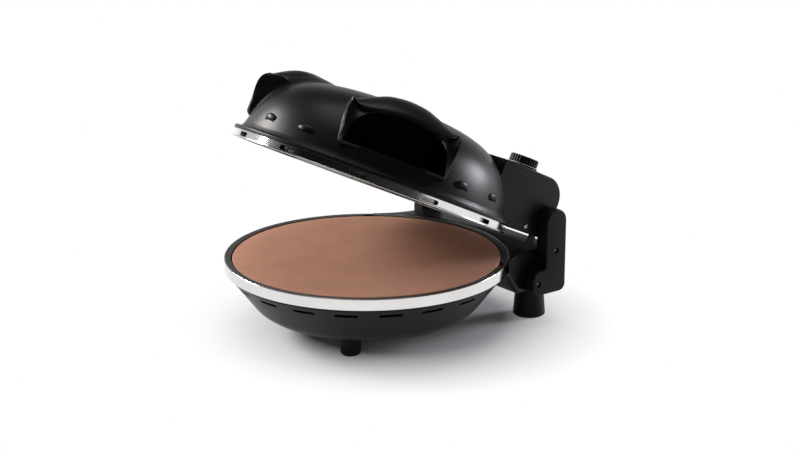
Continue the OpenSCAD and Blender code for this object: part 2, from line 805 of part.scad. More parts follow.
module lid_reflector() {
    flange_r = lid_band_r - sheet_t - fit_gap;
    mouth_r = rim_in_r + 1;
    color("#b7b5ae") lid_pose() difference() {
        lathe([[mouth_r, sheet_t], [flange_r, sheet_t], [flange_r, sheet_t + pan_t],
            [mouth_r + pan_t, sheet_t + pan_t], [mouth_r + pan_t, lid_band_h - 1],
            [dome_r - shell_t - 2, dome_z], [dome_r - 20, lid_pan_z + pan_t],
            [0, lid_pan_z + pan_t], [0, lid_pan_z], [dome_r - 21, lid_pan_z],
            [dome_r - shell_t - 3.4, dome_z - 0.6], [mouth_r, lid_band_h - 1.4]]);
        end = end_place(upper_loop_r);
        for (side = [-1, 1]) translate([side * end[0], end[1], lid_pan_z - over])
            cylinder(r = terminal_r + 1, h = 4);
        for (at = lid_post_xy) translate([at[0], at[1], lid_pan_z - over])
            cylinder(r = post_hole_r + 0.2, h = 4);
    }
}

module reflector_screws_lid() {
    color("#8f8f8d") lid_pose() for (at = lid_post_xy)
        translate([at[0], at[1], lid_pan_z]) rotate([180, 0, 0])
            pan_screw(screw_head_r, pan_head_h, post_hole_r - run_gap, pan_screw_len);
}

module upper_heating_element() {
    color("#5c5a58") lid_pose() translate([0, 0, upper_tube_z]) mirror([0, 0, 1])
        element_loop(upper_loop_r, upper_end_drop);
}

module upper_element_clips() {
    color("#9a9a97") lid_pose() translate([0, 0, upper_tube_z]) mirror([0, 0, 1])
        for (a = [-30, 90, 210]) rotate([0, 0, a - 60])
            element_clip(upper_loop_r, lid_pan_z - upper_tube_z);
}

module thermostat() {
    top = housing_h - shell_t - bracket_t;
    color("#c2bda9") lid_pose() translate([knob_x, knob_y, top - thermo_h]) difference() {
        union() {
            cylinder(r = thermo_r, h = thermo_h);
            for (x = [-1, 1]) translate([x * tag_size[0] - tag_size[0] / 2, -2, -tag_size[2]])
                cube(tag_size);
        }
        translate([0, 0, 4]) cylinder(r = shaft_r + run_gap, h = thermo_h);
    }
}

module thermostat_bracket() {
    color("#a8a8a4") lid_pose()
        translate([knob_x, knob_y, housing_h - shell_t - bracket_t]) difference() {
            translate([-bracket_size[0] / 2, -bracket_size[1] / 2, 0])
                cube([bracket_size[0], bracket_size[1], bracket_t]);
            translate([0, 0, -over]) cylinder(r = shaft_r + 0.5, h = bracket_t + 2 * over);
        }
}

module dial_ring() {
    color("#2f2f31") lid_pose() translate([knob_x, knob_y, housing_h]) difference() {
        cylinder(r = knob_d / 2 + 1.5, h = dial_h);
        translate([0, 0, -over]) cylinder(r = shaft_r + 2, h = dial_h + 2 * over);
    }
}

module knob() {
    z = housing_h + dial_h + knob_gap;
    flute_r = 1.6;
    color("#101011") lid_pose() translate([knob_x, knob_y, z]) difference() {
        lathe([[0, 0], [knob_d / 2, 0], [knob_d / 2, 2], [knob_d / 2 - 0.8, 2.6],
            [knob_d / 2 - 1, knob_h - 1.5], [knob_d / 2 - 2.5, knob_h], [0, knob_h]]);
        for (i = [0 : knob_flutes - 1]) rotate([0, 0, (i + 0.5) * 360 / knob_flutes])
            translate([knob_d / 2 + 0.4, 0, 2.6]) cylinder(r = flute_r, h = knob_h, $fn = 24);
        translate([0, 0, -over]) cylinder(r = shaft_r + run_gap, h = knob_h - 3 + over);
        translate([-0.6, knob_d / 2 - 9, knob_h - 0.6]) cube([1.2, 10, 2]);
    }
}

module thermostat_shaft() {
    z0 = housing_h - shell_t - bracket_t - thermo_h + 4 + fit_gap;
    z1 = housing_h + dial_h + knob_gap + knob_h - 3 - fit_gap;
    color("#b5b5b2") lid_pose() translate([knob_x, knob_y, z0])
        cylinder(r = shaft_r, h = z1 - z0);
}

base_shell();
bottom_cover();
base_trim_band();
stone_rim();
base_reflector();
reflector_screws_base();
lower_heating_element();
lower_element_clips();
terminal_block();
cord_gland();
rear_deck();
front_feet();
rear_feet();
foot_pads();
hinge_arm_left();
hinge_arm_right();
arm_screws();
hinge_pins();
pizza_stone();
lid_shell();
lid_trim_band();
arch_panel_left();
arch_panel_right();
rear_housing();
housing_floor();
housing_screws();
hinge_bushes();
lid_bumpers();
lid_reflector();
reflector_screws_lid();
upper_heating_element();
upper_element_clips();
thermostat();
thermostat_bracket();
dial_ring();
knob();
thermostat_shaft();
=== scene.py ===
import json
from math import atan2, cos, degrees, hypot, pi, radians, sin, sqrt, tan

import bmesh
import bpy
from bpy.props import FloatProperty, FloatVectorProperty, IntProperty, PointerProperty
from mathutils import Matrix, Vector


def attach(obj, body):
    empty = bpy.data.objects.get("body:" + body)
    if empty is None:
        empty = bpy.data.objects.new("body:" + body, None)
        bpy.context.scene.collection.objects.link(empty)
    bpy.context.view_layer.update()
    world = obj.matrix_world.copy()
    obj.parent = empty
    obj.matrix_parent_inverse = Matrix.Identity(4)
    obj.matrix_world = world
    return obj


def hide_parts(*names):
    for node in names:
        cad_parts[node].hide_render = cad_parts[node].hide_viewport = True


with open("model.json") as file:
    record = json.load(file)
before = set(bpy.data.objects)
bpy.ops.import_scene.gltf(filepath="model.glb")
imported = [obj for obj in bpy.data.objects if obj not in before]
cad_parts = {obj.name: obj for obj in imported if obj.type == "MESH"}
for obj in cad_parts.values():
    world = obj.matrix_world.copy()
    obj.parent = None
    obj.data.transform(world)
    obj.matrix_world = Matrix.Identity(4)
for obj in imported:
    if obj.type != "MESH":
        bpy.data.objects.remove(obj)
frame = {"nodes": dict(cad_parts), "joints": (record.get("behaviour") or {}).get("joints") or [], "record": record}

bl_info = {
    "name": "Pizza Oven",
    "version": (1, 0, 0),
    "blender": (4, 5, 0),
    "location": "View3D > Sidebar > Pizza Oven",
    "description": "Builds the looks of an electric pizza oven round its packed frame",
    "category": "Add Mesh",
}

MM = 0.001


# Sizes and colours

def length(name, value, low, high):
    return FloatProperty(name=name, default=value, min=low, max=high)


def colour(name, value):
    return FloatVectorProperty(name=name, subtype="COLOR", size=3, default=value, min=0, max=1)


class OvenSizes(bpy.types.PropertyGroup):
    """Sizes in millimetres, the same as the frame's"""
    stone_d: length("Stone diameter", 330, 250, 400)
    rim_w: length("Rim width", 10, 8, 14)
    ring_z: length("Band top", 94, 80, 110)
    band_h: length("Band height", 13.5, 8, 20)
    bowl_z: length("Bowl underside", 22, 10, 40)
    neck_z: length("Neck underside", 39.5, 30, 50)
    neck_in: length("Neck side from the band", 61.5, 50, 80)
    pivot_back: length("Hinge behind the band", 19, 15, 30)
    arm_w: length("Arm width", 32, 20, 40)
    arm_t: length("Arm thickness", 19.5, 10, 30)
    dome_h: length("Dome height", 103, 80, 120)
    hood_az: length("Hood angle", 56.5, 50, 62)
    hood_w: length("Hood half width", 64.3, 50, 72)
    hood_crest: length("Hood crest", 105.5, 95, 116)
    arch_w: length("Arch half width", 61, 45, 68)
    arch_z: length("Arch sill", 36, 30, 45)
    arch_h: length("Arch height", 46.5, 36, 56)
    housing_h: length("Housing height", 85, 60, 100)
    housing_back: length("Housing behind the hinge", 12, 5, 20)
    housing_r: length("Housing edge radius", 28, 10, 40)
    knob_d: length("Knob diameter", 38.5, 20, 50)
    knob_h: length("Knob height", 12, 8, 20)
    knob_x: length("Knob right of the middle", 70, 40, 90)
    tube_d: length("Element tube", 6.5, 4, 10)
    flutes: IntProperty(name="Knob flutes", default=28, min=8, max=60)


class OvenColours(bpy.types.PropertyGroup):
    """Base colours, as linear values"""
    body: colour("Body plastic", (0.0048, 0.0044, 0.0047))
    arm: colour("Arm plastic", (0.0050, 0.0044, 0.0046))
    # Painted shade: darker than the body plastic, standing in for the shade inside the recesses and slits
    recess: colour("Recess", (0.002, 0.002, 0.002))
    steel: colour("Polished steel", (0.76, 0.75, 0.74))
    rim: colour("Rim enamel", (0.028, 0.028, 0.030))
    reflector: colour("Reflector sheet", (0.50, 0.49, 0.47))
    stone: colour("Fired clay", (0.43, 0.215, 0.145))
    sheath: colour("Element sheath", (0.10, 0.095, 0.09))
    knob: colour("Knob plastic", (0.005, 0.005, 0.0052))
    rubber: colour("Rubber", (0.020, 0.020, 0.020))
    nylon: colour("Nylon", (0.62, 0.58, 0.45))
    ceramic: colour("Ceramic", (0.62, 0.60, 0.54))


def move(at):
    return Matrix.Translation(at)


def turned(angle, axis):
    return Matrix.Rotation(radians(angle), 4, axis)


class Plan:
    """What follows from the sizes, in millimetres from the stone's middle on the table."""

    def __init__(self, s):
        hinge = [j for j in frame["joints"] if j["name"] == "lid_hinge"][0]
        self.s = s
        self.open = -hinge["range_deg"][0]
        self.stone_r = s.stone_d / 2
        self.ring_r = self.stone_r + s.rim_w
        self.pivot_y = self.ring_r + s.pivot_back
        self.pivot_z = hinge["pos_m"][2] / MM
        self.middle_y = hinge["pos_m"][1] / MM - self.pivot_y
        self.ring_z = s.ring_z
        self.band_z = s.ring_z - s.band_h
        self.bowl_r = self.ring_r - 4
        self.deck_z = s.ring_z - 2.5
        self.neck_x = self.ring_r - s.neck_in
        self.neck_back_y = self.pivot_y + s.arm_w / 2 - 3
        self.arm_front_y = self.pivot_y - s.arm_w / 2
        self.boot_y = self.arm_front_y - 21
        self.lid_z = s.ring_z + 0.5
        self.dome_r = self.ring_r - 7
        self.dome_z = 16
        self.hood_d = self.ring_r - 17
        self.recess_d = self.hood_d - 46
        self.housing_x = self.neck_x - 0.5
        self.housing_y = self.pivot_y + s.housing_back
        self.knob_y = self.pivot_y - 29
        self.shoulder_r = self.ring_r + 2.5
        self.shoulder_az = 50.5
        k = sin(radians(self.shoulder_az))
        self.blend_r = (self.shoulder_r * k - self.neck_x) / (1 - k)
        self.blend_x = self.neck_x + self.blend_r
        self.blend_y = (self.shoulder_r + self.blend_r) * cos(radians(self.shoulder_az))
        self.pan_z = 60
        self.lid_pan_z = 30

    def base(self):
        return move((0, self.middle_y * MM, 0)) @ Matrix.Scale(MM, 4)

    def lid(self):
        hinge = Vector((0, self.middle_y + self.pivot_y, self.pivot_z)) * MM
        return (move(hinge) @ turned(-self.open, "X")
                @ move(Vector((0, -self.pivot_y, self.lid_z - self.pivot_z)) * MM)
                @ Matrix.Scale(MM, 4))

    def dome_outline(self, inset, steps=40):
        r, h = self.dome_r - inset, self.s.dome_h
        return bezier([(r, self.dome_z), (r - 17, h * 0.825 - inset), (r - 48, h - inset),
                       (0, h - inset)], steps)


def plan():
    return Plan(bpy.context.scene.oven_sizes)


# Curves and outlines

def bezier(p, steps):
    """Points along a cubic curve with the four given control points."""
    out = []
    for i in range(steps + 1):
        u = i / steps
        v = 1 - u
        k = (v * v * v, 3 * u * v * v, 3 * u * u * v, u * u * u)
        out.append(tuple(sum(a * q[n] for a, q in zip(k, p)) for n in range(len(p[0]))))
    return out


def arc(cx, cy, r, a0, a1, steps):
    return [(cx + r * cos(radians(a0 + (a1 - a0) * i / steps)),
             cy + r * sin(radians(a0 + (a1 - a0) * i / steps))) for i in range(steps + 1)]


def rounded(points, steps=4, closed=True):
    """An outline whose corners are rounded: a point is (x, y) or (x, y, radius)."""
    out, n = [], len(points)
    for i, p in enumerate(points):
        here = Vector(p[:2])
        ends = not closed and i in (0, n - 1)
        if len(p) < 3 or p[2] <= 0 or ends:
            out.append(tuple(here))
            continue
        a = Vector(points[i - 1][:2]) - here
        b = Vector(points[(i + 1) % n][:2]) - here
        half = a.angle(b) / 2
        reach = min(p[2] / tan(half), 0.49 * a.length, 0.49 * b.length)
        r = reach * tan(half)
        a.normalize()
        b.normalize()
        centre = here + (a + b).normalized() * (r / sin(half))
        start, end = here + a * reach - centre, here + b * reach - centre
        turn = start.angle_signed(end)
        for k in range(steps + 1):
            t = -turn * k / steps
            out.append((centre.x + start.x * cos(t) - start.y * sin(t),
                        centre.y + start.x * sin(t) + start.y * cos(t)))
    return out


def along(points, t):
    """The place at share t of a smooth curve through the points."""
    n = len(points) - 1
    i = min(int(t * n), n - 1)
    u = t * n - i
    p = [Vector(points[max(0, min(n, i + k))]) for k in (-1, 0, 1, 2)]
    return 0.5 * (2 * p[1] + (p[2] - p[0]) * u + (2 * p[0] - 5 * p[1] + 4 * p[2] - p[3]) * u * u
                  + (3 * p[1] - p[0] - 3 * p[2] + p[3]) * u ** 3)


# Mesh pieces

def lathe(bm, profile, steps=192, closed=False, start=0.0):
    """Spins a profile of (radius, height) right round the Z axis."""
    turn = turned(start, "Z")
    verts = [bm.verts.new(turn @ Vector((r, 0, z))) for r, z in profile]
    pairs = list(zip(verts, verts[1:])) + ([(verts[-1], verts[0])] if closed else [])
    edges = [bm.edges.new(p) for p in pairs]
    bmesh.ops.spin(bm, geom=verts + edges, cent=(0, 0, 0), axis=(0, 0, 1), angle=2 * pi,
                   steps=steps, use_merge=True)
    bmesh.ops.remove_doubles(bm, verts=bm.verts, dist=0.002)


def sheet(bm, place, nu, nv):
    """A grid of nu by nv faces whose points place(u, v) puts where they belong."""
    made = bmesh.ops.create_grid(bm, x_segments=nu, y_segments=nv, size=0.5)["verts"]
    for v in made:
        v.co = place(min(1.0, max(0.0, v.co.x + 0.5)), min(1.0, max(0.0, v.co.y + 0.5)))
    return made


def slab(bm, outline, height, turn=Matrix(), bevel=0.8, segments=3):
    """A plate cut to an outline in XY, from z = 0 up, with its long edges rounded."""
    verts = [bm.verts.new((x, y, 0)) for x, y in outline]
    face = bm.faces.new(verts)
    grown = bmesh.ops.extrude_face_region(bm, geom=[face])["geom"]
    top = [g for g in grown if isinstance(g, bmesh.types.BMVert)]
    bmesh.ops.translate(bm, verts=top, vec=(0, 0, height))
    every = verts + top
    bmesh.ops.recalc_face_normals(bm, faces=list({f for v in every for f in v.link_faces}))
    if bevel:
        flat = {0: [], 1: []}
        for e in {e for v in every for e in v.link_edges}:
            zs = [v.co.z for v in e.verts]
            if abs(zs[0] - zs[1]) < 1e-6:
                flat[zs[0] > height / 2].append(e)
        made = bmesh.ops.bevel(bm, geom=flat[0] + flat[1], offset=bevel, segments=segments,
                               affect="EDGES", profile=0.5, material=-1, clamp_overlap=True)
        every = list({v for v in every if v.is_valid} | set(made["verts"]))
    bmesh.ops.transform(bm, matrix=turn, verts=every)
    return every


def tube(bm, points, r, sides=20):
    """A round tube along points, with flat ends."""
    n = len(points)
    rings = []
    side = None
    for i, p in enumerate(points):
        way = (Vector(points[min(n - 1, i + 1)]) - Vector(points[max(0, i - 1)])).normalized()
        if side is None:
            side = way.orthogonal().normalized()
        side = (side - way * side.dot(way)).normalized()
        up = way.cross(side)
        rings.append([bm.verts.new(Vector(p) + r * (cos(2 * pi * k / sides) * side
                                                    + sin(2 * pi * k / sides) * up))
                      for k in range(sides)])
    for a, b in zip(rings, rings[1:]):
        for k in range(sides):
            bm.faces.new((a[k], a[(k + 1) % sides], b[(k + 1) % sides], b[k]))
    bm.faces.new(rings[0][::-1])
    bm.faces.new(rings[-1])


def face_out(faces, centre, inwards=False):
    """Turns open faces so that they look away from a centre, or towards it."""
    for f in faces:
        away = f.normal.dot(f.calc_center_median() - Vector(centre)) > 0
        if away == inwards:
            f.normal_flip()


def piece(p, name, bm, body, slot, stands_for=(), at=Matrix(), paints=(), smooth=32, closed=True):
    """Makes an object of the mesh, in place and riding on its body, painted as its slot says."""
    bmesh.ops.remove_doubles(bm, verts=bm.verts, dist=0.001)
    if closed:
        bmesh.ops.recalc_face_normals(bm, faces=bm.faces)
    for f in bm.faces:
        f.smooth = True
    for e in bm.edges:
        e.smooth = len(e.link_faces) == 2 and e.calc_face_angle(0) < radians(smooth)
    mesh = bpy.data.meshes.new(name)
    bm.to_mesh(mesh)
    bm.free()
    mesh.transform((p.lid() if body in ("lid", "knob") else p.base()) @ at)
    obj = bpy.data.objects.new(name, mesh)
    bpy.context.scene.collection.objects.link(obj)
    for coat in paints or [slot]:
        mesh.materials.append(paint(coat))
    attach(obj, body)
    if stands_for:
        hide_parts(*stands_for)
    return obj


def carve(bm, *tools):
    """Takes closed tool meshes out of a closed mesh, and returns the result."""
    def hold(b, name):
        mesh = bpy.data.meshes.new(name)
        bmesh.ops.recalc_face_normals(b, faces=b.faces)
        b.to_mesh(mesh)
        b.free()
        obj = bpy.data.objects.new(name, mesh)
        bpy.context.scene.collection.objects.link(obj)
        return obj
    body = hold(bm, "carved")
    cutters = [hold(t, "cutter") for t in tools]
    for c in cutters:
        m = body.modifiers.new("cut", "BOOLEAN")
        m.operation, m.solver, m.object = "DIFFERENCE", "EXACT", c
    got = body.evaluated_get(bpy.context.evaluated_depsgraph_get()).to_mesh()
    out = bmesh.new()
    out.from_mesh(got)
    for o in [body] + cutters:
        mesh = o.data
        bpy.data.objects.remove(o)
        bpy.data.meshes.remove(mesh)
    return out


def lathe_normals(obj, place, profile, limit=25):
    """Gives a carved lathe the true normals of its smooth profile wherever a face lies on it."""
    back = place.inverted()
    line = [Vector(p) for p in profile]
    mesh = obj.data
    normals = []
    for poly in mesh.polygons:
        flat = Vector(poly.normal)
        for li in poly.loop_indices:
            co = back @ mesh.vertices[mesh.loops[li].vertex_index].co
            here = Vector((hypot(co.x, co.y), co.z))
            best, tilt = 1e9, None
            for a, b in zip(line, line[1:]):
                way = b - a
                t = max(0.0, min(1.0, (here - a).dot(way) / way.length_squared))
                gap = (a + way * t - here).length
                if gap < best:
                    best, tilt = gap, (t, line.index(a))
            if best > 0.05:
                normals.append(flat)
                continue
            t, i = tilt
            ways = [(line[min(k + 1, len(line) - 1)] - line[max(k - 1, 0)]).normalized()
                    for k in (i, i + 1)]
            way = ways[0] * (1 - t) + ways[1] * t
            radial = Vector((co.x, co.y, 0)).normalized() if hypot(co.x, co.y) > 1e-6 else Vector()
            n = (radial * way.y + Vector((0, 0, -way.x))).normalized()
            n = (place.to_3x3() @ n).normalized()
            if n.dot(flat) < 0:
                n = -n
            normals.append(n if n.dot(flat) > cos(radians(limit)) else flat)
    mesh.normals_split_custom_set(normals)


# Materials

class Wire:
    """A shader value that adds, multiplies and so on with others and with numbers."""

    def __init__(self, tree, socket):
        self.tree, self.socket = tree, socket

    def _math(self, op, *others, swap=False):
        node = self.tree.nodes.new("ShaderNodeMath")
        node.operation = op
        for i, value in enumerate(others + (self,) if swap else (self,) + others):
            if isinstance(value, Wire):
                self.tree.links.new(value.socket, node.inputs[i])
            else:
                node.inputs[i].default_value = value
        return Wire(self.tree, node.outputs[0])

    def __add__(self, other):
        return self._math("ADD", other)

    def __sub__(self, other):
        return self._math("SUBTRACT", other)

    def __rsub__(self, other):
        return self._math("SUBTRACT", other, swap=True)

    def __mul__(self, other):
        return self._math("MULTIPLY", other)

    __radd__, __rmul__ = __add__, __mul__

    def root(self):
        return self._math("SQRT")

    def fit(self, low, high, to_low=0.0, to_high=1.0):
        node = self.tree.nodes.new("ShaderNodeMapRange")
        node.clamp = True
        for name, value in (("From Min", low), ("From Max", high), ("To Min", to_low),
                            ("To Max", to_high)):
            node.inputs[name].default_value = value
        self.tree.links.new(self.socket, node.inputs["Value"])
        return Wire(self.tree, node.outputs["Result"])


class Paint:
    """A material with one Principled shader and what feeds it."""

    def __init__(self, name):
        self.material = bpy.data.materials.new(name)
        self.material.use_nodes = True
        self.tree = self.material.node_tree
        self.shader = self.tree.nodes["Principled BSDF"]
        self.coords = self.tree.nodes.new("ShaderNodeTexCoord").outputs["Object"]
        self.normal = None

    def set(self, **values):
        for name, value in values.items():
            socket = self.shader.inputs[name.replace("_", " ")]
            if isinstance(value, Wire):
                self.tree.links.new(value.socket, socket)
            else:
                if hasattr(value, "__len__") and len(value) == 3 and socket.type == "RGBA":
                    value = (*value, 1.0)
                socket.default_value = value
        return self

    def noise(self, scale, detail=3.0, rough=0.55, stretch=(1, 1, 1)):
        move = self.tree.nodes.new("ShaderNodeMapping")
        move.inputs["Scale"].default_value = stretch
        self.tree.links.new(self.coords, move.inputs["Vector"])
        node = self.tree.nodes.new("ShaderNodeTexNoise")
        node.inputs["Scale"].default_value = scale
        node.inputs["Detail"].default_value = detail
        node.inputs["Roughness"].default_value = rough
        self.tree.links.new(move.outputs[0], node.inputs["Vector"])
        return Wire(self.tree, node.outputs["Fac"])

    def cells(self, scale):
        node = self.tree.nodes.new("ShaderNodeTexVoronoi")
        node.inputs["Scale"].default_value = scale
        self.tree.links.new(self.coords, node.inputs["Vector"])
        return Wire(self.tree, node.outputs["Distance"])

    def axes(self):
        node = self.tree.nodes.new("ShaderNodeSeparateXYZ")
        self.tree.links.new(self.coords, node.inputs[0])
        return [Wire(self.tree, o) for o in node.outputs]

    def mix(self, share, a, b):
        node = self.tree.nodes.new("ShaderNodeMix")
        node.data_type = "RGBA"
        self.tree.links.new(share.socket, node.inputs["Factor"])
        for value, socket in ((a, node.inputs[6]), (b, node.inputs[7])):
            if isinstance(value, Wire):
                self.tree.links.new(value.socket, socket)
            else:
                socket.default_value = (*value, 1.0)
        return Wire(self.tree, node.outputs[2])

    def bump(self, height, strength, distance):
        node = self.tree.nodes.new("ShaderNodeBump")
        node.inputs["Strength"].default_value = strength
        node.inputs["Distance"].default_value = distance
        self.tree.links.new(height.socket, node.inputs["Height"])
        if self.normal:
            self.tree.links.new(self.normal, node.inputs["Normal"])
        self.normal = node.outputs[0]
        self.tree.links.new(self.normal, self.shader.inputs["Normal"])
        return self


def shade(rgb, k):
    return tuple(min(1.0, c * k) for c in rgb)


def plastic(name, rgb, rough, grain=0.10, gloss=0.17):
    """Moulded plastic with a fine spark-eroded grain and faint handling marks."""
    p = Paint(name)
    cloud = p.noise(9, 4)
    fine = p.noise(2600, 2)
    p.set(Base_Color=p.mix(cloud.fit(0.35, 0.65), shade(rgb, 0.9), shade(rgb, 1.12)),
          Roughness=cloud.fit(0.3, 0.7, rough - 0.03, rough + 0.04), Specular_IOR_Level=gloss)
    return p.bump(fine, grain, 0.00006)


def metal(name, rgb, rough, brush=None, strength=0.03):
    """Sheet metal with faint rolling marks and small changes of polish."""
    p = Paint(name)
    cloud = p.noise(14, 4)
    mark = p.noise(260, 3, 0.6, brush or (1, 1, 12))
    p.set(Base_Color=p.mix(cloud.fit(0.3, 0.7), shade(rgb, 0.94), shade(rgb, 1.04)), Metallic=1.0,
          Roughness=(mark * 0.06 + cloud * 0.04).fit(0.0, 0.1, rough - 0.02, rough + 0.05))
    return p.bump(mark, strength, 0.00004)


def make_stone(name, rgb):
    p = Paint(name)
    cloud = p.noise(22, 5, 0.6)
    grit = p.noise(900, 3, 0.7)
    speck = p.cells(520).fit(0.06, 0.16)
    base = p.mix(cloud.fit(0.3, 0.7), shade(rgb, 0.90), shade(rgb, 1.08))
    sandy = p.mix(grit.fit(0.45, 0.75), base, (min(1, rgb[0] * 1.22), rgb[1] * 1.3, rgb[2] * 1.35))
    p.set(Base_Color=p.mix(speck, shade(rgb, 0.62), sandy),
          Roughness=grit.fit(0.3, 0.7, 0.82, 0.94), Specular_IOR_Level=0.15)
    p.bump(grit, 0.5, 0.00025)
    return p.bump(speck, 0.25, 0.0002)


def make_sheath(name, rgb):
    p = Paint(name)
    heat = p.noise(30, 4)
    p.set(Base_Color=p.mix(heat.fit(0.35, 0.65), rgb, (rgb[0] * 1.5, rgb[1] * 1.35, rgb[2] * 1.1)),
          Metallic=0.8, Roughness=heat.fit(0.3, 0.7, 0.38, 0.55))
    return p.bump(p.noise(1500, 2), 0.2, 0.00005)


def make_rubber(name, rgb):
    p = Paint(name)
    dust = p.noise(160, 4)
    p.set(Base_Color=p.mix(dust.fit(0.4, 0.75), rgb, shade(rgb, 1.7)),
          Roughness=dust.fit(0.3, 0.7, 0.72, 0.88))
    return p.bump(p.noise(2200, 2), 0.3, 0.00008)


def make_white(name, rgb):
    """Pale printed or moulded material."""
    p = Paint(name)
    cloud = p.noise(60, 3)
    p.set(Base_Color=p.mix(cloud.fit(0.3, 0.7), shade(rgb, 0.93), rgb),
          Roughness=cloud.fit(0.3, 0.7, 0.4, 0.55))
    return p.bump(p.noise(1800, 2), 0.1, 0.00005)


def paint(name):
    """The material of a slot, made once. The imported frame's own have the plain names."""
    label = "oven_" + name
    if label in bpy.data.materials:
        return bpy.data.materials[label]
    c = bpy.context.scene.oven_colours
    makers = {
        "body_plastic": (plastic, c.body, 0.36),
        "arm_plastic": (plastic, c.arm, 0.48, 0.14, 0.14),
        # Painted shade: darker, duller and with less sheen than the body plastic, for the shade in the recesses
        # and slits
        "recess_plastic": (plastic, c.recess, 0.62, 0.05, 0.05),
        "knob_plastic": (plastic, c.knob, 0.34, 0.05),
        "dial_plastic": (plastic, shade(c.body, 0.9), 0.4, 0.05),
        "polished_steel": (metal, c.steel, 0.11),
        "rim_enamel": (plastic, c.rim, 0.34, 0.05, 0.5),
        "reflector_steel": (metal, c.reflector, 0.26, (1, 14, 1), 0.08),
        "element_sheath": (make_sheath, c.sheath),
        "clip_steel": (metal, shade(c.steel, 0.7), 0.30),
        "screw_steel": (metal, shade(c.steel, 0.50), 0.30),
        "pin_steel": (metal, shade(c.steel, 0.8), 0.2),
        "thermostat_metal": (metal, (0.45, 0.42, 0.34), 0.35),
        "bush_nylon": (make_white, c.nylon),
        "ceramic": (make_white, c.ceramic),
        "stone_clay": (make_stone, c.stone),
        "pad_rubber": (make_rubber, c.rubber),
        "print_white": (make_white, (0.72, 0.72, 0.72)),
    }
    maker, *values = makers[name]
    return maker(label, *values).material


# The base

def slot_tool(bm, r, z, length, height, depth, az):
    """A cutter for a slot with round ends, pushed in from radius r at an angle from the front."""
    outline = rounded([(-length / 2, -height / 2, height / 2 - 0.02),
                       (length / 2, -height / 2, height / 2 - 0.02),
                       (length / 2, height / 2, height / 2 - 0.02),
                       (-length / 2, height / 2, height / 2 - 0.02)], 6)
    turn = (turned(az, "Z") @ move((0, -(r - depth), z))
            @ turned(90, "X"))
    slab(bm, outline, depth + 14, turn, bevel=0)


def bowl_profile(p, inset=0.0):
    slope = 55
    flat = p.bowl_r - (p.band_z - p.s.bowl_z) / tan(radians(slope)) \
        - 45 * tan(radians(slope / 2))
    side = p.bowl_r - inset / sin(radians(slope))
    return [(0, p.s.bowl_z + inset)] + arc(flat, p.s.bowl_z + 45, 45 - inset, -90, slope - 90, 24) \
        + [(side - 0.35, p.band_z - 3.5), (side - 0.1, p.band_z - 1.4), (side, p.band_z + 1)]


def build_bowl(p):
    """The bowl: a smooth moulding with a row of vents under the band."""
    vents, step, vent_len, vent_h = 14, 18, 28, 4
    outer, inner = bowl_profile(p), bowl_profile(p, 3)
    bm = bmesh.new()
    lathe(bm, outer + inner[::-1], 240)
    joined = bmesh.new()
    for i in range(vents):
        slot_tool(joined, p.bowl_r, p.ring_z - 24, vent_len, vent_h, 24,
                  (i - (vents - 1) / 2) * step)
    bm = carve(bm, joined)
    obj = piece(p, "base_bowl", bm, "base", "body_plastic", ["base_shell"])
    lathe_normals(obj, p.base(), outer)


def neck_outline(p, inset, steps=28):
    """Plan of the neck from one shoulder round the back to the other, set in by an inset."""
    corner_r = 9
    x = p.neck_x - inset
    back = p.neck_back_y - inset
    sweep = arc(p.blend_x, p.blend_y, p.blend_r + inset, 270 - p.shoulder_az, 180, steps)
    sweep = [q for q in sweep if q[0] <= p.shoulder_r * sin(radians(p.shoulder_az)) + 2]
    line = [(x, p.blend_y + 0.5), (x, back - corner_r)]
    corner = arc(x - corner_r, back - corner_r, corner_r, 0, 90, 8)
    right = sweep + line + corner
    left = [(-a, b) for a, b in right[::-1]]
    return right + left


def build_neck(p):
    """The neck that carries the arms: a wall round its plan, rolled into a sloping underside."""
    bm = bmesh.new()
    roll = 8
    front = p.shoulder_r * cos(radians(p.shoulder_az)) - 4

    def under(y):
        """The underside's height, which falls towards the boots on a slightly eased line."""
        t = min(1.0, max(0.0, (y - front) / (p.boot_y - 6 - front)))
        top = p.band_z - 1
        return top + (p.s.neck_z - top) * (t * t * (3 - 2 * t) * 0.35 + t * 0.65)

    levels = [(0, None)] + [(roll * (1 - cos(radians(a))), roll * (1 - sin(radians(a))))
                            for a in range(0, 91, 10)]
    rings = []
    for inset, lift in levels:
        ring = []
        for x, y in neck_outline(p, inset):
            z = p.deck_z if lift is None else min(p.deck_z - 1, under(y) + lift)
            ring.append(bm.verts.new((x, y, z)))
        rings.append(ring)
    inner = [bm.verts.new((v.co.x * 0.2, v.co.y, v.co.z)) for v in rings[-1]]
    rings.append(inner)
    n = len(rings[0])
    for a, b in zip(rings, rings[1:]):
        for k in range(n - 1):
            bm.faces.new((a[k], a[k + 1], b[k + 1], b[k]))
    face_out(bm.faces, (0, 90, 75))
    piece(p, "base_neck", bm, "base", "body_plastic", closed=False, smooth=50)
    bm = bmesh.new()
    r = p.ring_r + 0.4
    reach = neck_outline(p, 0.0)
    edge = atan2(reach[0][0], reach[0][1])
    front_edge = [(r * sin(-edge + 2 * edge * i / 60), r * cos(-edge + 2 * edge * i / 60))
                  for i in range(61)]
    slab(bm, reach + front_edge, 2.5, move((0, 0, p.deck_z)), 0.7)
    piece(p, "neck_deck", bm, "base", "body_plastic", ["rear_deck"])


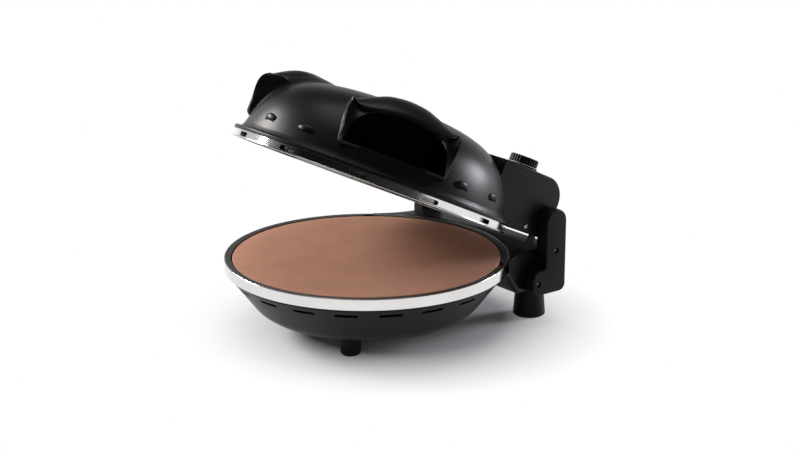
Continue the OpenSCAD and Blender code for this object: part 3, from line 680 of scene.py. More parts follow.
def build_rings(p):
    """The steel band, the dark rim inside it, and the collar behind it."""
    r, z0, z1 = p.ring_r, p.band_z, p.ring_z
    bm = bmesh.new()
    lathe(bm, rounded([(r - 1.5, z0), (r, z0, 0.5), (r, z1, 0.8), (r - 1.5, z1, 0.3)], 5), 256,
          closed=True)
    piece(p, "base_band", bm, "base", "polished_steel", ["base_trim_band"])
    bm = bmesh.new()
    a, ledge = p.stone_r + 1.5, z1 - 12.5
    profile = rounded([(a - 11, ledge - 1.5), (a + 1.5, ledge - 1.5), (a + 1.5, z1 - 2.5),
                       (r - 1.8, z1 - 2.5), (r - 1.8, z1 - 0.3, 0.4), (a, z1 - 0.3, 0.9),
                       (a, ledge, 0.8), (a - 11, ledge, 0.5)], 4)
    lathe(bm, profile, 256, closed=True)
    tools = []
    for side in (-1, 1):
        t = bmesh.new()
        slab(t, arc(0, 0, 9, 0, 352.5, 47), 10,
             turned(side * 128, "Z")
             @ move((0, -(a - 3.5), z1 - 6)), 0)
        tools.append(t)
    bm = carve(bm, *tools)
    obj = piece(p, "stone_seat", bm, "base", "rim_enamel", ["stone_rim"])
    lathe_normals(obj, p.base(), profile)
    bm = bmesh.new()
    lathe(bm, rounded([(a + 2, z0 - 0.5), (r - 1.6, z0 - 0.4, 0.4), (r - 1.6, z1 - 3),
                       (a + 2, z1 - 3)], 3), 192, closed=True)
    piece(p, "base_collar", bm, "base", "body_plastic")


def build_stone(p):
    bm = bmesh.new()
    r, t, z = p.stone_r, 12, p.ring_z - 12.48
    lathe(bm, rounded([(0, z), (r, z, 1.0), (r, z + t, 1.8), (0, z + t)], 5, closed=False), 256)
    piece(p, "baking_stone", bm, "stone", "stone_clay", ["pizza_stone"])


def build_feet(p):
    """Turned feet with a soft lower edge, each on a rubber pad."""
    front, rear = (68, -75), (p.neck_x - 23.5, p.pivot_y - 5)
    for name, at, r0, r1, top, node in (
            ("front_foot", front, 12, 13.5, p.s.bowl_z + 1.2, "front_feet"),
            ("rear_foot", rear, 20.5, 17.5, p.s.neck_z + 1, "rear_feet")):
        bm = bmesh.new()
        for side in (-1, 1):
            part = bmesh.new()
            lathe(part, rounded([(0, 2.2), (r0 - 2, 2.2, 0.2), (r0 - 1.9, 1.5, 0.2),
                                 (r0, 1.5, 1.2), (r1, top - 1, 1.5), (r1 + 2.5, top + 1.5),
                                 (0, top + 1.5)], 4, closed=False), 96)
            bmesh.ops.translate(part, verts=part.verts, vec=(side * at[0], at[1], 0))
            add(bm, part)
        piece(p, name + "_pair", bm, "base", "arm_plastic", [node])
    bm = bmesh.new()
    for at, r in ((front, 10), (rear, 18.5)):
        for side in (-1, 1):
            part = bmesh.new()
            lathe(part, rounded([(0, 0), (r, 0, 0.5), (r, 2.6, 0.3), (0, 2.6)], 3, closed=False),
                  72)
            bmesh.ops.translate(part, verts=part.verts, vec=(side * at[0], at[1], 0))
            add(bm, part)
    piece(p, "foot_pad_set", bm, "base", "pad_rubber", ["foot_pads"])


def add(bm, part):
    """Adds one mesh to another."""
    mesh = bpy.data.meshes.new("part")
    part.to_mesh(mesh)
    part.free()
    bm.from_mesh(mesh)
    bpy.data.meshes.remove(mesh)


def screw_head(bm, at, side, top):
    """Adds a screw head on a side wall, its top given as a profile from the edge inwards."""
    part = bmesh.new()
    lathe(part, rounded([(0, 0), (3.5, 0)] + top, 4, closed=False), 48)
    bmesh.ops.transform(part, matrix=move(at) @ turned(90 * side, "Y"), verts=part.verts)
    add(bm, part)


def build_arms(p):
    """Each arm: a leg with a round top and a boot, all its edges rounded."""
    s = p.s
    half, z0 = s.arm_w / 2, s.neck_z
    y0, y1 = p.arm_front_y, p.arm_front_y + s.arm_w
    top = arc(p.pivot_y, p.pivot_z, half, 0, 180, 32)
    corners = rounded([(y0, p.pivot_z), (y0, z0 + 31, 7), (p.boot_y, z0 + 31, 11),
                       (p.boot_y, z0, 11), (y1, z0, 9), (y1, p.pivot_z)], 10, closed=False)
    outline = top + corners[1:-1]
    screws = [(p.pivot_y, p.pivot_z - 37), (p.boot_y + 9, z0 + 15)]
    for side, label in ((-1, "left"), (1, "right")):
        bm = bmesh.new()
        turn = (move((side * p.neck_x, 0, 0)) @ Matrix.Scale(side, 4, (1, 0, 0))
                @ turned(90, "Z") @ turned(90, "X"))
        slab(bm, outline, s.arm_t, turn, 1.6, 4)
        if side < 0:
            bmesh.ops.reverse_faces(bm, faces=bm.faces)
        tools = []
        for y, z in screws:
            t = bmesh.new()
            slab(t, arc(0, 0, 3.8, 0, 350, 35), 8,
                 move((side * (p.neck_x + s.arm_t - 5 if side > 0 else
                                             p.neck_x + s.arm_t + 3), y, z))
                 @ turned(90, "Y"), 0)
            tools.append(t)
        bm = carve(bm, *tools)
        piece(p, "arm_" + label, bm, "base", "arm_plastic", ["hinge_arm_" + label])
    bm = bmesh.new()
    for side in (-1, 1):
        for y, z in screws:
            screw_head(bm, (side * (p.neck_x + s.arm_t - 5), y, z), side,
                       [(3.5, 1.4, 0.9), (1.6, 2.4, 0.3), (1.3, 1.2, 0.2), (0, 1.2)])
    piece(p, "arm_screw_set", bm, "base", "screw_steel", ["arm_screws"])


def loop_points(r, z, drop):
    """The centre line of a heating element: a loop whose ends bend away through the pan."""
    half, bend = 12, 9
    a0 = degrees(atan2(half + bend, r))
    ring = [(r * sin(radians(a)), r * cos(radians(a)), z)
            for a in [a0 + (360 - 2 * a0) * i / 150 for i in range(151)]]
    foot = z + drop
    step = 1 if drop > 0 else -1
    head = [(half, ring[0][1] + 0.6, foot), (half, ring[0][1] + 0.6, z + step * bend)]
    for k in range(1, 9):
        t = radians(90 * k / 9)
        head.append((half + bend * (1 - cos(t)), ring[0][1] + 0.6 - 0.6 * k / 9,
                     z + step * bend * (1 - sin(t))))
    tail = [(-x, y, q) for x, y, q in head[::-1]]
    return head + ring + tail


def build_heating(p):
    """The two tubular elements, bent round from their terminal ends."""
    r = p.s.tube_d / 2
    for name, body, loop_r, z, drop, node in (
            ("lower_element", "base", p.ring_r - 60, p.pan_z + 9, -18, "lower_heating_element"),
            ("upper_element", "lid", p.ring_r - 65, 17.5, 22, "upper_heating_element")):
        bm = bmesh.new()
        tube(bm, loop_points(loop_r, z, drop), r)
        piece(p, name, bm, body, "element_sheath", [node])


# The lid

def hood_place(p, side):
    """From a hood's own (outwards, along, up) to the closed lid's place."""
    a = radians(side * p.s.hood_az)
    return Matrix(((sin(a), cos(a), 0, 0), (-cos(a), sin(a), 0, 0), (0, 0, 1, 0), (0, 0, 0, 1)))


def arch_point(p, a, grow=0.0):
    """A point (along, up) on the arch's edge, at angle a from the right end of its sill."""
    k = 2 / 2.6
    c, s = cos(radians(a)), max(0.0, sin(radians(a)))
    w = (p.s.arch_w + grow) * abs(c) ** k * (1 if c >= 0 else -1)
    return w, p.s.arch_z + (p.s.arch_h + grow) * s ** k


def dome_radius(p, z):
    line = p.dome_outline(0, 120)
    for (r0, z0), (r1, z1) in zip(line, line[1:]):
        if z0 <= z <= z1:
            return r0 + (r1 - r0) * (z - z0) / max(1e-9, z1 - z0)
    return p.dome_r if z < p.dome_z else 0.0


def dome_height(p, r):
    line = p.dome_outline(0, 120)
    for (r0, z0), (r1, z1) in zip(line, line[1:]):
        if r1 <= r <= r0:
            return z0 + (z1 - z0) * (r0 - r) / max(1e-9, r0 - r1)
    return p.dome_z


def dome_slope(p, r):
    """The outward direction down the dome at radius r, as (radial, up)."""
    a, b = dome_height(p, r - 1.5), dome_height(p, r + 1.5 if r + 1.5 < p.dome_r else p.dome_r)
    return Vector((3.0, b - a)).normalized()


def crease(p, t):
    """The hood's side edge from its foot on the dome to its upper corner, on the + side."""
    w = p.s.hood_w
    return along([(153.4, w - 3.6, 29), (157.3, w - 2.2, 34), (156.3, w - 0.5, 43),
                  (155.9, w + 1.3, 54), (156.1, w + 2.4, 64), (155.2, w + 3.0, 73),
                  (152.8, w + 3.1, 79), (149.8, w + 1.7, 83), (145.5, w, 86)], t)


def knuckle(p, t):
    """The soft edge where the hood's flat side turns towards the dome."""
    w = p.s.hood_w
    return along([(151.7, w + 0.1, 32), (153.6, w + 1.1, 36), (154, w + 1.8, 41),
                  (153.5, w + 2.1, 49), (149.5, w + 2.3, 60), (143.5, w + 2.3, 71),
                  (136.5, w + 2.0, 80), (131.7, w + 1.5, 84.6), (128.5, w + 1.2, 86.8)], t)


def across(p, line, x):
    """A point at place x, from -1 to 1, of a curve across the hood given by its one half."""
    right = [(d, k * p.s.hood_w, z) for d, k, z in line]
    left = [(d, -w, z) for d, w, z in right[:0:-1]]
    return along(left + right, (x + 1) / 2)


def crest(p, x):
    """The hood's crest."""
    top = p.s.hood_crest - 105.5
    return across(p, [(118, 0, 105 + top), (119.9, 0.33, 102.8 + top), (124, 0.55, 97.8 + top),
                      (129.3, 0.70, 93.4), (134.5, 0.81, 89.8), (139.5, 0.90, 87),
                      (145.5, 1, 86)], x)


def visor_edge(p, x):
    """The visor's lower edge."""
    return across(p, [(158, 0, 83.3), (158, 0.33, 82), (157.8, 0.55, 80), (157, 0.70, 78.8),
                      (155.5, 0.81, 79.4), (153, 0.90, 81), (145.5, 1, 86)], x)


def build_lid(p):
    """The domed lid with its two hoods."""
    dome = p.dome_outline(0)
    r = p.dome_r
    brim = rounded([(r + 0.5, 10.05), (p.ring_r + 2, 10.05, 0.5), (p.ring_r + 2, 14.6, 1.6),
                    (r + 1.6, 15.2, 1.5), (r, 19.5)], 5, closed=False)
    wall = [q for q in dome if q[1] > 20.5]
    outer = brim[:-1] + [(dome_radius(p, 20), 20)] + wall
    inner = p.dome_outline(3)[::-1] + [(r - 3, 11.5), (r + 0.5, 11.5)]
    bm = bmesh.new()
    sill = p.s.arch_z - 1
    outer = [q for q in dict.fromkeys(outer) if abs(q[1] - sill) > 1]
    outer = [q for q in outer if q[1] < sill] + [(dome_radius(p, sill), sill)] \
        + [q for q in outer if q[1] > sill]
    lathe(bm, outer + inner, 360, closed=True, start=p.s.hood_az % 1)
    bmesh.ops.recalc_face_normals(bm, faces=bm.faces)

    gone = []
    for f in bm.faces:
        c = f.calc_center_median()
        az = degrees(atan2(abs(c.x), -c.y)) - p.s.hood_az
        if abs(az) < 21.4 and sill < c.z < 87 and hypot(c.x, c.y) > 90:
            gone.append(f)
    bmesh.ops.delete(bm, geom=gone, context="FACES")
    for side in (-1, 1):
        add_hood(bm, p, side)
    # The second paint, recess_plastic, is painted shade: it darkens the recess walls and sills below the body
    # plastic
    piece(p, "lid_dome", bm, "lid", "body_plastic", ["lid_shell"],
          paints=["body_plastic", "recess_plastic"], closed=False, smooth=28)


def add_hood(bm, p, side):
    """Adds one hood: its hollow front, visor, back, recess and sill."""
    place = hood_place(p, side)
    part = bmesh.new()

    def patch(f, nu, nv, centre, inwards=False, slot=0):
        before = set(part.faces)
        sheet(part, f, nu, nv)
        made = [q for q in part.faces if q not in before]
        part.normal_update()
        face_out(made, centre, inwards)
        for q in made:
            q.material_index = slot

    side_u = 0.24

    def arch_angle(u):
        """The arch's angle at place u round the hood's front."""
        if u < side_u:
            return 48 * u / side_u
        if u > 1 - side_u:
            return 180 - 48 * (1 - u) / side_u
        return 48 + 84 * (u - side_u) / (1 - 2 * side_u)

    def rim(u, upper):
        """The hood's outer edge: a crease, a curve across it, and the other crease."""
        if u <= side_u:
            return crease(p, u / side_u)
        if u >= 1 - side_u:
            c = crease(p, (1 - u) / side_u)
            return Vector((c.x, -c.y, c.z))
        return upper(p, 1 - 2 * (u - side_u) / (1 - 2 * side_u))

    def face(u, v):
        outside = rim(u, visor_edge)
        inside = Vector((p.hood_d, *arch_point(p, arch_angle(u))))
        near = max(0.0, 1 - abs(min(u, 1 - u) - side_u) / 0.17)
        point = inside.lerp(outside, v)
        point.x -= 4.5 * 4 * v * (1 - v) * near * near * (3 - 2 * near)
        return point
    patch(face, 150, 14, (0, 0, 40))

    def visor(u, v):
        x = 2 * u - 1
        low, high = visor_edge(p, x), crest(p, x)
        k = abs(x)
        q = bezier([tuple(low), (low.x + 0.4 * (1 - k), low.y, low.z + 0.33 * (high.z - low.z)),
                    (high.x + 0.42 * (low.x - high.x), high.y, high.z + 0.2 * (1 - k)),
                    tuple(high)], 24)
        i = min(23, int(v * 24))
        t = v * 24 - i
        return Vector(q[i]).lerp(Vector(q[i + 1]), t)
    patch(visor, 78, 16, (60, 0, 0))

    def foot(u):
        """Where the hood runs into the dome: the place and the dome's radius there."""
        near = min(u, 1 - u)
        sign = 1 if u < 0.5 else -1
        if near <= side_u:
            psi, z = along([(23.6, 33), (24.2, 35), (24.8, 40), (25.6, 47), (26.9, 56), (28.4, 65),
                            (29.8, 73), (31, 79), (32, 84)], near / side_u)
            r = dome_radius(p, z)
        else:
            t = (near - side_u) / (0.5 - side_u)
            r_end = dome_radius(p, 84)
            start = Vector((r_end * cos(radians(32)), r_end * sin(radians(32))))
            g = radians(90 * t)
            here = Vector((66 + (start.x - 66) * cos(g), start.y * max(0.0, cos(g)) ** 0.75))
            r, psi = here.length, degrees(atan2(here.y, here.x))
            z = dome_height(p, r)
        a = radians(psi)
        return Vector((r * cos(a), sign * r * sin(a), z)), r

    def lay(b, f, r):
        """The end of the run into the dome: the way along its surface, and straight out of it."""
        slope = dome_slope(p, r)
        normal = Vector((f.x, f.y, 0)).normalized() * -slope.y + Vector((0, 0, slope.x))
        way = b - f
        flat = way - normal * way.dot(normal)
        return flat.normalized() if flat.length > 1e-6 else flat, normal

    def middle(u, b, f, r):
        """The point the back is led through, and how smoothly it passes there."""
        near = min(u, 1 - u)
        sign = 1 if u < 0.5 else -1
        if near <= side_u:
            m = knuckle(p, near / side_u)
            return Vector((m.x, sign * m.y, m.z)), 0.2

        def free(b, f, r):
            flat, _ = lay(b, f, r)
            span = (b - f).length
            return 0.216 * b + 0.432 * (b + Vector((-0.34 * span, 0, 0.02 * span))) \
                + 0.288 * (f + flat * 0.4 * span) + 0.064 * f
        k = 1 - (near - side_u) / (0.5 - side_u)
        end = knuckle(p, 1)
        end.y *= sign
        corner = crest(p, sign)
        last, r_last = foot(side_u if sign > 0 else 1 - side_u)
        return free(b, f, r) + (end - free(corner, last, r_last)) * k ** 3, 1 - 0.8 * k ** 4

    def back(u, v):
        b = rim(u, crest)
        f, r = foot(u)
        m, soft = middle(u, b, f, r)
        flat, normal = lay(m, f, r)
        f = f - normal * 0.25
        through = (f - b).normalized()
        first, second = m - b, f - m
        leave = first.normalized().lerp(through, soft).normalized()
        onward = second.normalized().lerp(through, soft).normalized()
        if v < 0.4:
            start = first.normalized().lerp(Vector((-1, 0, 0.05)), max(0.0, soft - 0.2) / 0.8)
            q = (b, b + start.normalized() * first.length / 3, m - leave * first.length / 3, m)
            t = v / 0.4
        else:
            q = (m, m + onward * second.length / 3, f + flat * second.length * 0.4, f)
            t = (v - 0.4) / 0.6
        w = 1 - t
        return q[0] * w ** 3 + q[1] * 3 * t * w * w + q[2] * 3 * t * t * w + q[3] * t ** 3
    patch(back, 150, 30, (60, 0, 20))

    # The recess behind the arch; its walls and sill take the second paint, a painted shade darker than the body
    def pocket(u, v):
        w, z = arch_point(p, arch_angle(u))
        d = p.hood_d - (p.hood_d - p.recess_d) * v
        return Vector((d, w, z))
    patch(pocket, 150, 4, (135, 0, 55), True, 1)

    def sill(u, v):
        w = (2 * u - 1) * p.s.arch_w
        d = p.hood_d - (p.hood_d - p.recess_d) * v
        return Vector((d, w, p.s.arch_z))
    patch(sill, 30, 3, (135, 0, 80), True, 1)

    def ledge(u, v):
        half = p.s.arch_w + 0.5
        w = (2 * u - 1) * half
        front_d = p.hood_d - 0.1
        reach = sqrt(dome_radius(p, p.s.arch_z - 1) ** 2 - p.hood_d ** 2)
        low = p.s.arch_z - 1 - 6 * max(0.0, (abs(w) - reach) / (half - reach)) ** 0.8
        d = sqrt(dome_radius(p, low) ** 2 - w * w) - 0.1
        top, end = Vector((front_d, w, p.s.arch_z)), Vector((d, w, low))
        bend = Vector((max(front_d, d), w, p.s.arch_z - 0.7 * (p.s.arch_z - 1 - low)))
        return top * (1 - v) ** 2 + bend * 2 * v * (1 - v) + end * v * v
    patch(ledge, 60, 8, (150, 0, -400))

    bmesh.ops.transform(part, matrix=place, verts=part.verts)
    if place.to_3x3().determinant() < 0:
        bmesh.ops.reverse_faces(part, faces=part.faces)
    add(bm, part)


def build_panels(p):
    """The smooth back of each recess, black plastic in the recess paint, darkened further as painted shade."""
    for side, label in ((-1, "left"), (1, "right")):
        bm = bmesh.new()
        outline = [arch_point(p, 180 * i / 48, -0.3) for i in range(49)]
        turn = hood_place(p, side) @ move((p.recess_d, 0, 0)) \
            @ Matrix(((0, 0, 1, 0), (1, 0, 0, 0), (0, 1, 0, 0), (0, 0, 0, 1)))
        slab(bm, outline, 2, turn, 0.4, 2)
        piece(p, "recess_back_" + label, bm, "lid", "recess_plastic", ["arch_panel_" + label])


def build_scoops(p):
    """Small hooded vents low on the dome: a raised lip over a slit. The slit is a thin dark slab in the recess
    paint, painted shade where the opening would be.
    """
    bm, dark = bmesh.new(), bmesh.new()
    z0 = 33
    for az in (-4.3, 17.5, 88.8, 111.5, -88.8, -111.5):
        turn = turned(az, "Z") @ move((0, -dome_radius(p, z0), z0))
        part = bmesh.new()
        made = bmesh.ops.create_uvsphere(part, u_segments=32, v_segments=20, radius=1)["verts"]
        for v in made:
            x, y, z = v.co
            z = max(z, -0.12)
            v.co = (x * 11, y * 3.4 * (1 - 0.3 * x * x) + 0.5, z * 6)
        bmesh.ops.transform(part, matrix=turn, verts=part.verts)
        add(bm, part)
        # The slit is a dark slab, painted shade in place of a cut opening
        part = bmesh.new()
        outline = rounded([(-10, -2, 1.9), (10, -2, 1.9), (10, 2, 1.9), (-10, 2, 1.9)], 6)
        slab(part, outline, 2.4, turn @ move((0, -0.9 + 2.4, -2.4))
             @ turned(90, "X"), 0.3, 2)
        add(dark, part)
    piece(p, "lid_scoops", bm, "lid", "body_plastic", smooth=40)
    # Painted shade: the dark slabs under the lips stand for the shade in the slits
    piece(p, "lid_scoop_slit_shade", dark, "lid", "recess_plastic")


def build_lid_band(p):
    """The slotted steel band under the dome with its thin lip."""
    slots, slot_len, slot_h, slot_depth = 12, 22, 5.6, 3
    r = p.ring_r - 1
    lip = p.ring_r + 3
    profile = rounded([(p.stone_r + 3.5, 0), (lip, 0, 0.4), (lip, 1.2, 0.4), (r, 1.2, 0.5),
                       (r, 10, 0.3), (p.dome_r + 2, 10), (p.dome_r + 2, 8.8), (r - 1.2, 8.8),
                       (r - 1.2, 1.2), (p.stone_r + 3.5, 1.2)], 4)
    bm = bmesh.new()
    lathe(bm, profile, 256, closed=True)
    joined = bmesh.new()
    for i in range(slots):
        slot_tool(joined, r, 5, slot_len, slot_h, slot_depth, (i + 0.5) * 360 / slots)
    bm = carve(bm, joined)
    obj = piece(p, "lid_band", bm, "lid", "polished_steel", ["lid_trim_band"])
    lathe_normals(obj, p.lid(), profile)


def build_reflector(p):
    """The pressed pan that closes the lid from below, with a stepped rim."""
    mouth, r = p.stone_r + 2.5, p.dome_r
    top = [(0, p.lid_pan_z), (r - 21, p.lid_pan_z, 6), (r - 6.4, 15.4, 5), (mouth, 8.6, 2),
           (mouth, 1.25, 0.4), (p.ring_r - 2.5, 1.25)]
    back = [(p.ring_r - 2.5, 2.2), (mouth + 1, 2.2, 0.4), (mouth + 1, 9, 2),
            (r - 5, 16, 5), (r - 20, p.lid_pan_z + 1, 6), (0, p.lid_pan_z + 1)]
    bm = bmesh.new()
    lathe(bm, rounded(top + back, 5, closed=False), 192)
    piece(p, "lid_pan", bm, "lid", "reflector_steel", ["lid_reflector"])


def build_housing(p):
    """The box behind the dome that carries the knob and turns on the pins."""
    s = p.s
    r, y, top = s.housing_r, p.housing_y, s.housing_h
    outline = rounded([(p.ring_r - 79, 10), (y, 10, 5), (y, top, r), (p.ring_r - 79, top)], 16)
    bm = bmesh.new()
    turn = (move((-p.housing_x, 0, 0)) @ turned(90, "Z")
            @ turned(90, "X"))
    slab(bm, outline, 2 * p.housing_x, turn, 1.6, 4)
    t = bmesh.new()
    g = 0.35
    line = [(0, -4), (p.ring_r + 2 + g, -4), (p.ring_r + 2 + g, 15.6), (p.dome_r + 1, 16.5)] \
        + [q for q in p.dome_outline(-g) if q[1] > 18]
    lathe(t, line, 256)
    bm = carve(bm, t)
    piece(p, "housing_shell", bm, "lid", "body_plastic", ["rear_housing"], smooth=24)
    bm = bmesh.new()
    for side in (-1, 1):
        screw_head(bm, (side * p.housing_x, p.knob_y, 18), side,
                   [(3.5, 1.0, 0.7), (1.5, 1.8, 0.3), (1.2, 0.9, 0.2), (0, 0.9)])
    piece(p, "housing_screw_pair", bm, "lid", "screw_steel", ["housing_screws"])


def build_knob(p):
    """The fluted temperature knob over its printed dial."""
    s = p.s
    at = move((s.knob_x, p.knob_y, s.housing_h))
    r, h = s.knob_d / 2, s.knob_h
    bm = bmesh.new()
    lathe(bm, rounded([(5, 0), (r + 1.5, 0), (r + 1.5, 2, 0.6), (5, 2)], 4), 96, closed=True)
    piece(p, "dial_plate", bm, "lid", "dial_plastic", ["dial_ring"], at=at)
    bm = bmesh.new()
    z0 = 2.3
    cap = [(0, z0), (r, z0, 0.4), (r, z0 + 1.6, 0.3)]
    side = [(r - 0.9, z0 + 2.2, 0.3), (r - 1.2, z0 + h, 1.6), (r - 4, z0 + h, 0.8),
            (r - 4.6, z0 + h - 0.7, 0.5), (0, z0 + h - 0.5)]
    n = s.flutes * 10
    lathe(bm, rounded(cap + side, 5, closed=False), n)
    for v in bm.verts:
        d = hypot(v.co.x, v.co.y)
        if v.co.z > z0 + 2.0 and d > r - 3.2:
            wave = abs(sin(s.flutes / 2 * atan2(v.co.y, v.co.x))) ** 0.55
            k = 1 - 1.15 * (1 - wave) / d * min(1.0, (d - r + 3.2) / 0.8)
            v.co.x *= k
            v.co.y *= k
    piece(p, "knob_cap", bm, "knob", "knob_plastic", ["knob"], at=at)
    bm = bmesh.new()
    for a0, a1 in ((-150, -104), (-98, -52), (-46, 0), (6, 52), (58, 104), (110, 150)):
        outline = arc(0, 0, r + 0.12, a0, a1, 12) + arc(0, 0, r - 0.6, a1, a0, 12)
        slab(bm, outline, 0.7, move((0, 0, z0 + 1.25)), 0.1, 1)
    piece(p, "knob_scale", bm, "knob", "knob_plastic", at=at, paints=["print_white"])
    bm = bmesh.new()
    slab(bm, rounded([(-0.6, -r + 4.6, 0.4), (0.6, -r + 4.6, 0.4), (0.6, -r + 10, 0.4),
                      (-0.6, -r + 10, 0.4)], 3), 0.5, move((0, 0, z0 + h - 0.75)), 0.1, 1)
    piece(p, "knob_pointer", bm, "knob", "knob_plastic", at=at, paints=["print_white"])


def dress_frame(p):
    """Gives the frame's own nodes that still show their materials."""
    slots = {q["node"]: q["material_slot"] for q in frame["record"]["subparts"]}
    for name, obj in frame["nodes"].items():
        if obj.hide_render:
            continue
        obj.data.materials.clear()
        obj.data.materials.append(paint(slots[name]))


# The stage

def area_light(name, place, target, size, power, tint=(1, 1, 1)):
    data = bpy.data.lights.new(name, "AREA")
    data.shape, data.size, data.size_y = "RECTANGLE", size[0], size[1]
    data.energy, data.color = power, tint
    obj = bpy.data.objects.new(name, data)
    bpy.context.scene.collection.objects.link(obj)
    obj.location = place
    obj.rotation_euler = (Vector(target) - Vector(place)).to_track_quat("-Z", "Y").to_euler()
    return obj


def any_of(nodes, links, path, *names):
    """The greatest of some of Light Path's outputs."""
    last = path.outputs[names[0]]
    for name in names[1:]:
        node = nodes.new("ShaderNodeMath")
        node.operation = "MAXIMUM"
        links.new(last, node.inputs[0])
        links.new(path.outputs[name], node.inputs[1])
        last = node.outputs[0]
    return last


def floor_paint():
    """A pale floor that keeps the shadow and turns white further out."""
    p = Paint("floor")
    p.set(Base_Color=(0.72, 0.72, 0.72), Roughness=0.9, Specular_IOR_Level=0.1)
    nodes, links = p.tree.nodes, p.tree.links
    x, y, _ = p.axes()
    away = (x * x + (y - 0.03) * (y - 0.03)).root().fit(0.13, 0.27)
    seen = any_of(nodes, links, nodes.new("ShaderNodeLightPath"), "Is Camera Ray",
                  "Is Glossy Ray", "Is Transmission Ray")
    white = nodes.new("ShaderNodeEmission")
    mix = nodes.new("ShaderNodeMixShader")
    links.new((away * Wire(p.tree, seen)).socket, mix.inputs[0])
    links.new(p.shader.outputs[0], mix.inputs[1])
    links.new(white.outputs[0], mix.inputs[2])
    links.new(mix.outputs[0], nodes["Material Output"].inputs["Surface"])
    return p.material


def studio_world():
    """White where it is seen, behind the oven, and dimmer round the camera and overhead."""
    world = bpy.data.worlds.new("studio")
    world.use_nodes = True
    tree = world.node_tree
    nodes, links = tree.nodes, tree.links
    path = nodes.new("ShaderNodeLightPath")
    axes = nodes.new("ShaderNodeSeparateXYZ")
    links.new(nodes.new("ShaderNodeTexCoord").outputs["Generated"], axes.inputs[0])
    x, y, z = (Wire(tree, o) for o in axes.outputs)
    front = (x * 0.79 - y * 0.61).fit(-0.25, 0.40, 0.8, 0.04)
    low = z.fit(0.10, 0.45, 1.0, 0.10)
    seen, soft, room = nodes["Background"], nodes.new("ShaderNodeBackground"), \
        nodes.new("ShaderNodeBackground")
    seen.inputs["Color"].default_value = (1, 1, 1, 1)
    soft.inputs["Color"].default_value = (0.96, 0.97, 1.0, 1)
    soft.inputs["Strength"].default_value = 0.38
    links.new((front * low).socket, room.inputs["Strength"])
    dim, pick = nodes.new("ShaderNodeMixShader"), nodes.new("ShaderNodeMixShader")
    links.new(path.outputs["Is Glossy Ray"], dim.inputs[0])
    links.new(soft.outputs[0], dim.inputs[1])
    links.new(room.outputs[0], dim.inputs[2])
    links.new(any_of(nodes, links, path, "Is Camera Ray", "Is Transmission Ray"), pick.inputs[0])
    links.new(dim.outputs[0], pick.inputs[1])
    links.new(seen.outputs[0], pick.inputs[2])
    links.new(pick.outputs[0], nodes["World Output"].inputs["Surface"])
    return world


def build_stage(p):
    """Camera, floor, world and soft lights."""
    scene = bpy.context.scene
    az, el, dist, focus = radians(52.3), radians(16.69), 2200, 1788.31
    aside, above = 41.03, 29.16
    b = Vector((sin(az) * cos(el), -cos(az) * cos(el), sin(el)))
    right = Vector((cos(az), sin(az), 0))
    up = b.cross(right)
    target = right * aside + up * above + Vector((0, p.middle_y, 100))
    cam = bpy.data.cameras.new("camera")
    cam.lens, cam.sensor_width = focus * 36 / 800, 36
    cam.clip_start, cam.clip_end = 0.05, 50
    eye = bpy.data.objects.new("camera", cam)
    scene.collection.objects.link(eye)
    eye.matrix_world = move((target + b * dist) * MM) @ Matrix((
        (right.x, up.x, b.x, 0), (right.y, up.y, b.y, 0), (right.z, up.z, b.z, 0), (0, 0, 0, 1)))
    scene.camera = eye

    bm = bmesh.new()
    bmesh.ops.create_grid(bm, x_segments=1, y_segments=1, size=8)
    mesh = bpy.data.meshes.new("floor")
    bm.to_mesh(mesh)
    bm.free()
    floor = bpy.data.objects.new("floor", mesh)
    scene.collection.objects.link(floor)
    mesh.materials.append(floor_paint())
    scene.world = studio_world()

    area_light("key", (-1.60, -0.80, 1.05), (0, 0, 0.12), (1.0, 0.5), 44, (1.0, 0.97, 0.94))
    area_light("side", (0.57, 1.86, 0.52), (0, 0.05, 0.17), (0.65, 0.45), 26, (0.92, 0.93, 1.0))
    area_light("top", (-0.25, 0.15, 2.1), (0, 0, 0.1), (1.5, 1.2), 15)
    scene.view_settings.view_transform = "Standard"


# Operators, one a group of pieces

def run(*steps):
    p = plan()
    for step in steps:
        step(p)
    return {"FINISHED"}


class OVEN_OT_base(bpy.types.Operator):
    """Builds the bowl, its neck and rings, and the stone"""
    bl_idname = "oven.base"
    bl_label = "Base and stone"

    def execute(self, context):
        return run(build_bowl, build_neck, build_rings, build_stone)


class OVEN_OT_feet(bpy.types.Operator):
    """Builds the feet and their pads"""
    bl_idname = "oven.feet"
    bl_label = "Feet"

    def execute(self, context):
        return run(build_feet)


class OVEN_OT_arms(bpy.types.Operator):
    """Builds the hinge arms and their screws"""
    bl_idname = "oven.arms"
    bl_label = "Hinge arms"

    def execute(self, context):
        return run(build_arms)


class OVEN_OT_heating(bpy.types.Operator):
    """Builds the two heating elements"""
    bl_idname = "oven.heating"
    bl_label = "Heating elements"

    def execute(self, context):
        return run(build_heating)


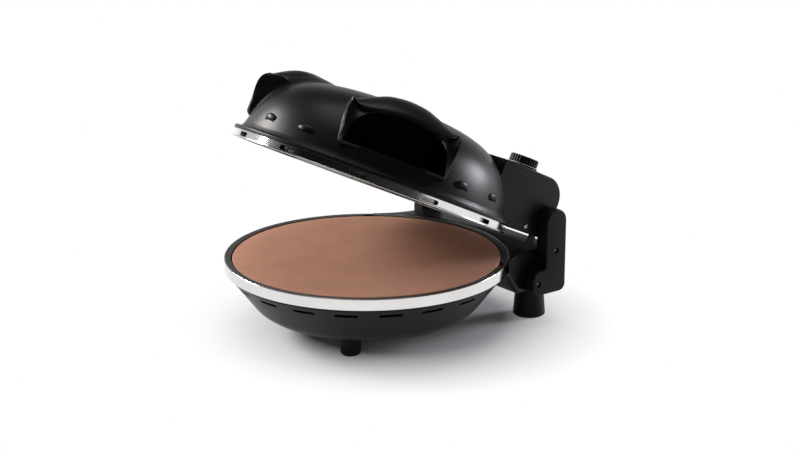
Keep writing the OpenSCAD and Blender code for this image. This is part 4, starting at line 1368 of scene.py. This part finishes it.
class OVEN_OT_lid(bpy.types.Operator):
    """Builds the domed lid, its hoods, recesses and vents"""
    bl_idname = "oven.lid"
    bl_label = "Lid"

    def execute(self, context):
        return run(build_lid, build_panels, build_scoops, build_lid_band, build_reflector)


class OVEN_OT_housing(bpy.types.Operator):
    """Builds the rear housing"""
    bl_idname = "oven.housing"
    bl_label = "Rear housing"

    def execute(self, context):
        return run(build_housing)


class OVEN_OT_knob(bpy.types.Operator):
    """Builds the temperature knob and its dial"""
    bl_idname = "oven.knob"
    bl_label = "Knob"

    def execute(self, context):
        return run(build_knob)


class OVEN_OT_frame(bpy.types.Operator):
    """Paints what still shows of the frame"""
    bl_idname = "oven.frame"
    bl_label = "Frame materials"

    def execute(self, context):
        return run(dress_frame)


class OVEN_OT_stage(bpy.types.Operator):
    """Sets up the camera, the floor and the lights"""
    bl_idname = "oven.stage"
    bl_label = "Stage"

    def execute(self, context):
        return run(build_stage)


class OVEN_PT_panel(bpy.types.Panel):
    bl_label = "Pizza Oven"
    bl_idname = "OVEN_PT_panel"
    bl_space_type = "VIEW_3D"
    bl_region_type = "UI"
    bl_category = "Pizza Oven"

    def draw(self, context):
        for group in (context.scene.oven_sizes, context.scene.oven_colours):
            box = self.layout.box()
            for name in group.__annotations__:
                box.prop(group, name)
        for op in OPERATORS:
            self.layout.operator(op.bl_idname)


OPERATORS = (OVEN_OT_base, OVEN_OT_feet, OVEN_OT_arms, OVEN_OT_heating, OVEN_OT_lid,
             OVEN_OT_housing, OVEN_OT_knob, OVEN_OT_frame, OVEN_OT_stage)
CLASSES = (OvenSizes, OvenColours) + OPERATORS + (OVEN_PT_panel,)


def register():
    for c in CLASSES:
        bpy.utils.register_class(c)
    bpy.types.Scene.oven_sizes = PointerProperty(type=OvenSizes)
    bpy.types.Scene.oven_colours = PointerProperty(type=OvenColours)


def unregister():
    del bpy.types.Scene.oven_colours
    del bpy.types.Scene.oven_sizes
    for c in reversed(CLASSES):
        bpy.utils.unregister_class(c)


def main():
    register()
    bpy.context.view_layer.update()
    for op in OPERATORS:
        group, name = op.bl_idname.split(".")
        getattr(getattr(bpy.ops, group), name)()


if __name__ == "__main__":
    main()
